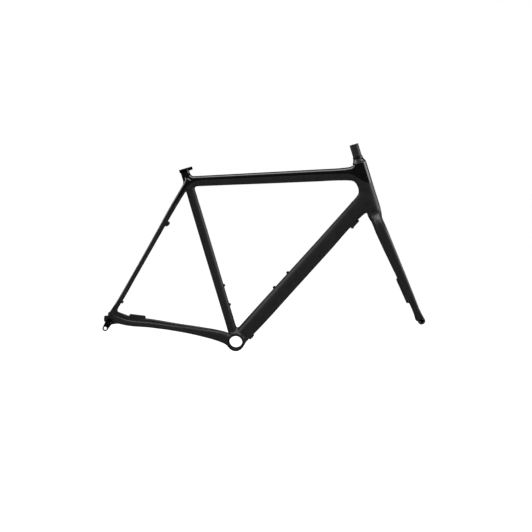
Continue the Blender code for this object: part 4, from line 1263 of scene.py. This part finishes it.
def cable_port(plastic, steel):
    """The housing under the down tube where the hoses go in, with its screw."""
    length, width, height = 0.0350, 0.0160, 0.0130
    place = basis(DOWN_ALONG * 0.535 + DOWN_OUT * 0.0318, DOWN_ALONG, DOWN_OUT)
    holes = []
    for side in SIDES.values():
        entry = place @ basis((0.004, side * width / 4, -0.0022), (0, 0, 1), (1, 0.0, 0.18))
        holes.append(drill("hose_entry", 0.0023, 0.004, 0.030, entry))
    slab("cable_port", stadium(length, width, 0.0060), -height, 0, place, 0.0016, 4, holes, plastic)
    screw_place = place @ Matrix.Translation((0.0050 - length / 2, 0, 0))
    socket_screw("cable_port_screw", screw_place, "port", steel)


def cable_guide(plastic, steel):
    """The small guide under the bottom bracket, with two grooves for the cables."""
    length, width, root, top = 0.0200, 0.0180, -0.0060, 0.0022
    place = basis(DOWN_ALONG * 0.0460 + DOWN_OUT * 0.0275, DOWN_ALONG, DOWN_OUT)
    grooves = []
    for side in SIDES.values():
        groove = place @ basis((0, side * 0.0062, top + 0.0003), (0, 0, 1), (1, 0, 0))
        grooves.append(drill("cable_groove", 0.0011, -0.02, 0.02, groove))
    slab("cable_guide", stadium(length, width, 0.0040), root, top, place, 0.0007, 3, grooves, plastic)
    socket_screw("cable_guide_screw", place, "guide", steel)


def hose_guide(plastic):
    """The eyelet on the left seatstay that the rear brake hose comes through."""
    ahead = Vector((SEATSTAY_AIM.z, 0, -SEATSTAY_AIM.x)).normalized()
    place = basis(Vector((-0.3775, 0.0722, 0.1277)) + ahead * 0.0095, SEATSTAY_AIM, ahead)
    through = place @ basis((0, 0, 0.0008), (0, 0, 1), (1, 0, 0))
    tunnel = drill("hose_tunnel", 0.0024, -0.02, 0.02, through)
    slab("brake_hose_guide", stadium(0.0090, 0.0085, 0.0030), -0.0075, 0.0040, place, 0.0012, 3,
         [tunnel], plastic)


def hidden_bearings(steel, metal):
    """What lies inside the head tube stays as the CAD made it, with the metal of its slot."""
    for node, obj in frame["nodes"].items():
        if obj.hide_render:
            continue
        material = metal if SLOT_OF[node] == "anodised" else steel
        obj.data.materials.clear()
        obj.data.materials.append(material)


# ---- stage
CAMERA_SPOT = Vector((0.1030, -6.0000, 0.5560))
CAMERA_AIM = Vector((0.0966, 0.0, 0.2429))
VIEW_WIDTH = 1.7024  # seen across the picture at the object
SENSOR = 36.0
WHEEL_RADIUS = 0.3365


def aimed(name, data, spot, aim):
    """An object that looks from one spot at another, along its own -Z axis."""
    obj = new_object(name, data)
    obj.location = spot
    obj.rotation_euler = (Vector(aim) - Vector(spot)).to_track_quat("-Z", "Y").to_euler()
    return obj


def camera():
    data = bpy.data.cameras.new("camera")
    data.sensor_width = SENSOR
    data.lens = SENSOR * (CAMERA_AIM - CAMERA_SPOT).length / VIEW_WIDTH
    data.clip_end = 200.0
    bpy.context.scene.camera = aimed("camera", data, CAMERA_SPOT, CAMERA_AIM)


def floor():
    """A wide pale floor where the wheels would stand."""
    height, half = REAR_AXLE.z - WHEEL_RADIUS, 60.0
    corners = [(x * half, y * half, height) for x, y in ((-1, -1), (1, -1), (1, 1), (-1, 1))]
    ground = new_object("floor", mesh_of("floor", corners, [(0, 1, 2, 3)]))
    g = Graph("floor_paper", specular=0.2)
    shade = g.tones(g.noise(3, 3), (0.885, 0.885, 0.885), (0.895, 0.895, 0.895))
    ground.data.materials.append(g.done(shade, 0.85))
    ground.visible_glossy = False


def softbox(name, spot, aim, width, height, power):
    light = bpy.data.lights.new(name, "AREA")
    light.shape = "RECTANGLE"
    light.size, light.size_y = width, height
    light.energy = power
    aimed(name, light, spot, aim).visible_camera = False


def studio():
    """One long softbox overhead, softer ones at both ends, and an even pale surround
    that is dim in reflections."""
    middle = (0.1, 0, 0.3)
    softbox("overhead", (0.1, 0.0, 2.1), middle, 2.6, 0.9, 48)
    softbox("front", (2.8, 0.0, 1.0), middle, 1.8, 1.0, 34)
    softbox("rear", (-2.4, 0.0, 1.7), middle, 1.8, 0.9, 30)
    world = bpy.data.worlds.new("studio")
    bpy.context.scene.world = world
    world.use_nodes = True
    tree = world.node_tree
    background = tree.nodes["Background"]
    rays = tree.nodes.new("ShaderNodeLightPath").outputs
    mirrored, direct, soft_level = 0.05, 0.95, 1.22
    strength = mirrored
    for ray, extra in (("Is Diffuse Ray", soft_level - mirrored), ("Is Camera Ray", direct)):
        level = add_node(tree, "ShaderNodeMath", {"operation": "MULTIPLY_ADD"},
                         _0=rays[ray], _1=extra, _2=strength)
        strength = level.outputs[0]
    feed(tree, background.inputs["Strength"], strength)
    feed(tree, background.inputs["Color"], (1, 1, 1, 1))
    bpy.context.scene.view_settings.view_transform = "Standard"


# ---- assembly
def build():
    camera()
    floor()
    studio()
    paint = carbon_paint()
    anodised = turned_metal("anodised_turned", (0.022, 0.022, 0.024), (0.042, 0.042, 0.045), 0.33, 1400)
    milled = blasted_metal("anodised_milled", (0.022, 0.022, 0.024), (0.040, 0.040, 0.043), 0.36)
    bearing = turned_metal("bearing_steel", (0.42, 0.42, 0.43), (0.62, 0.62, 0.63), 0.20, 1600)
    steel = blasted_metal("bolt_steel", (0.035, 0.035, 0.037), (0.075, 0.075, 0.080), 0.30)
    cover = turned_metal("cover_satin", (0.055, 0.055, 0.058), (0.085, 0.085, 0.090), 0.36, 900)
    plastic = moulded_plastic()
    cuts = cutters_for_skins()
    skin_pieces(frame_skin(), cuts, paint)
    skin_pieces(fork_skin(), cuts, paint)
    headset(cover, bearing, woven_carbon())
    shell_sleeve(anodised)
    seat_collar(milled, steel)
    bottle_fittings(anodised, steel)
    derailleur_hanger(milled, steel)
    for node in ("rear_axle", "front_axle"):
        thru_axle(node, anodised)
    cable_port(plastic, steel)
    cable_guide(plastic, steel)
    hose_guide(plastic)
    hidden_bearings(bearing, anodised)
    for cutter in CUTTERS:
        bpy.data.objects.remove(cutter, do_unlink=True)


build()
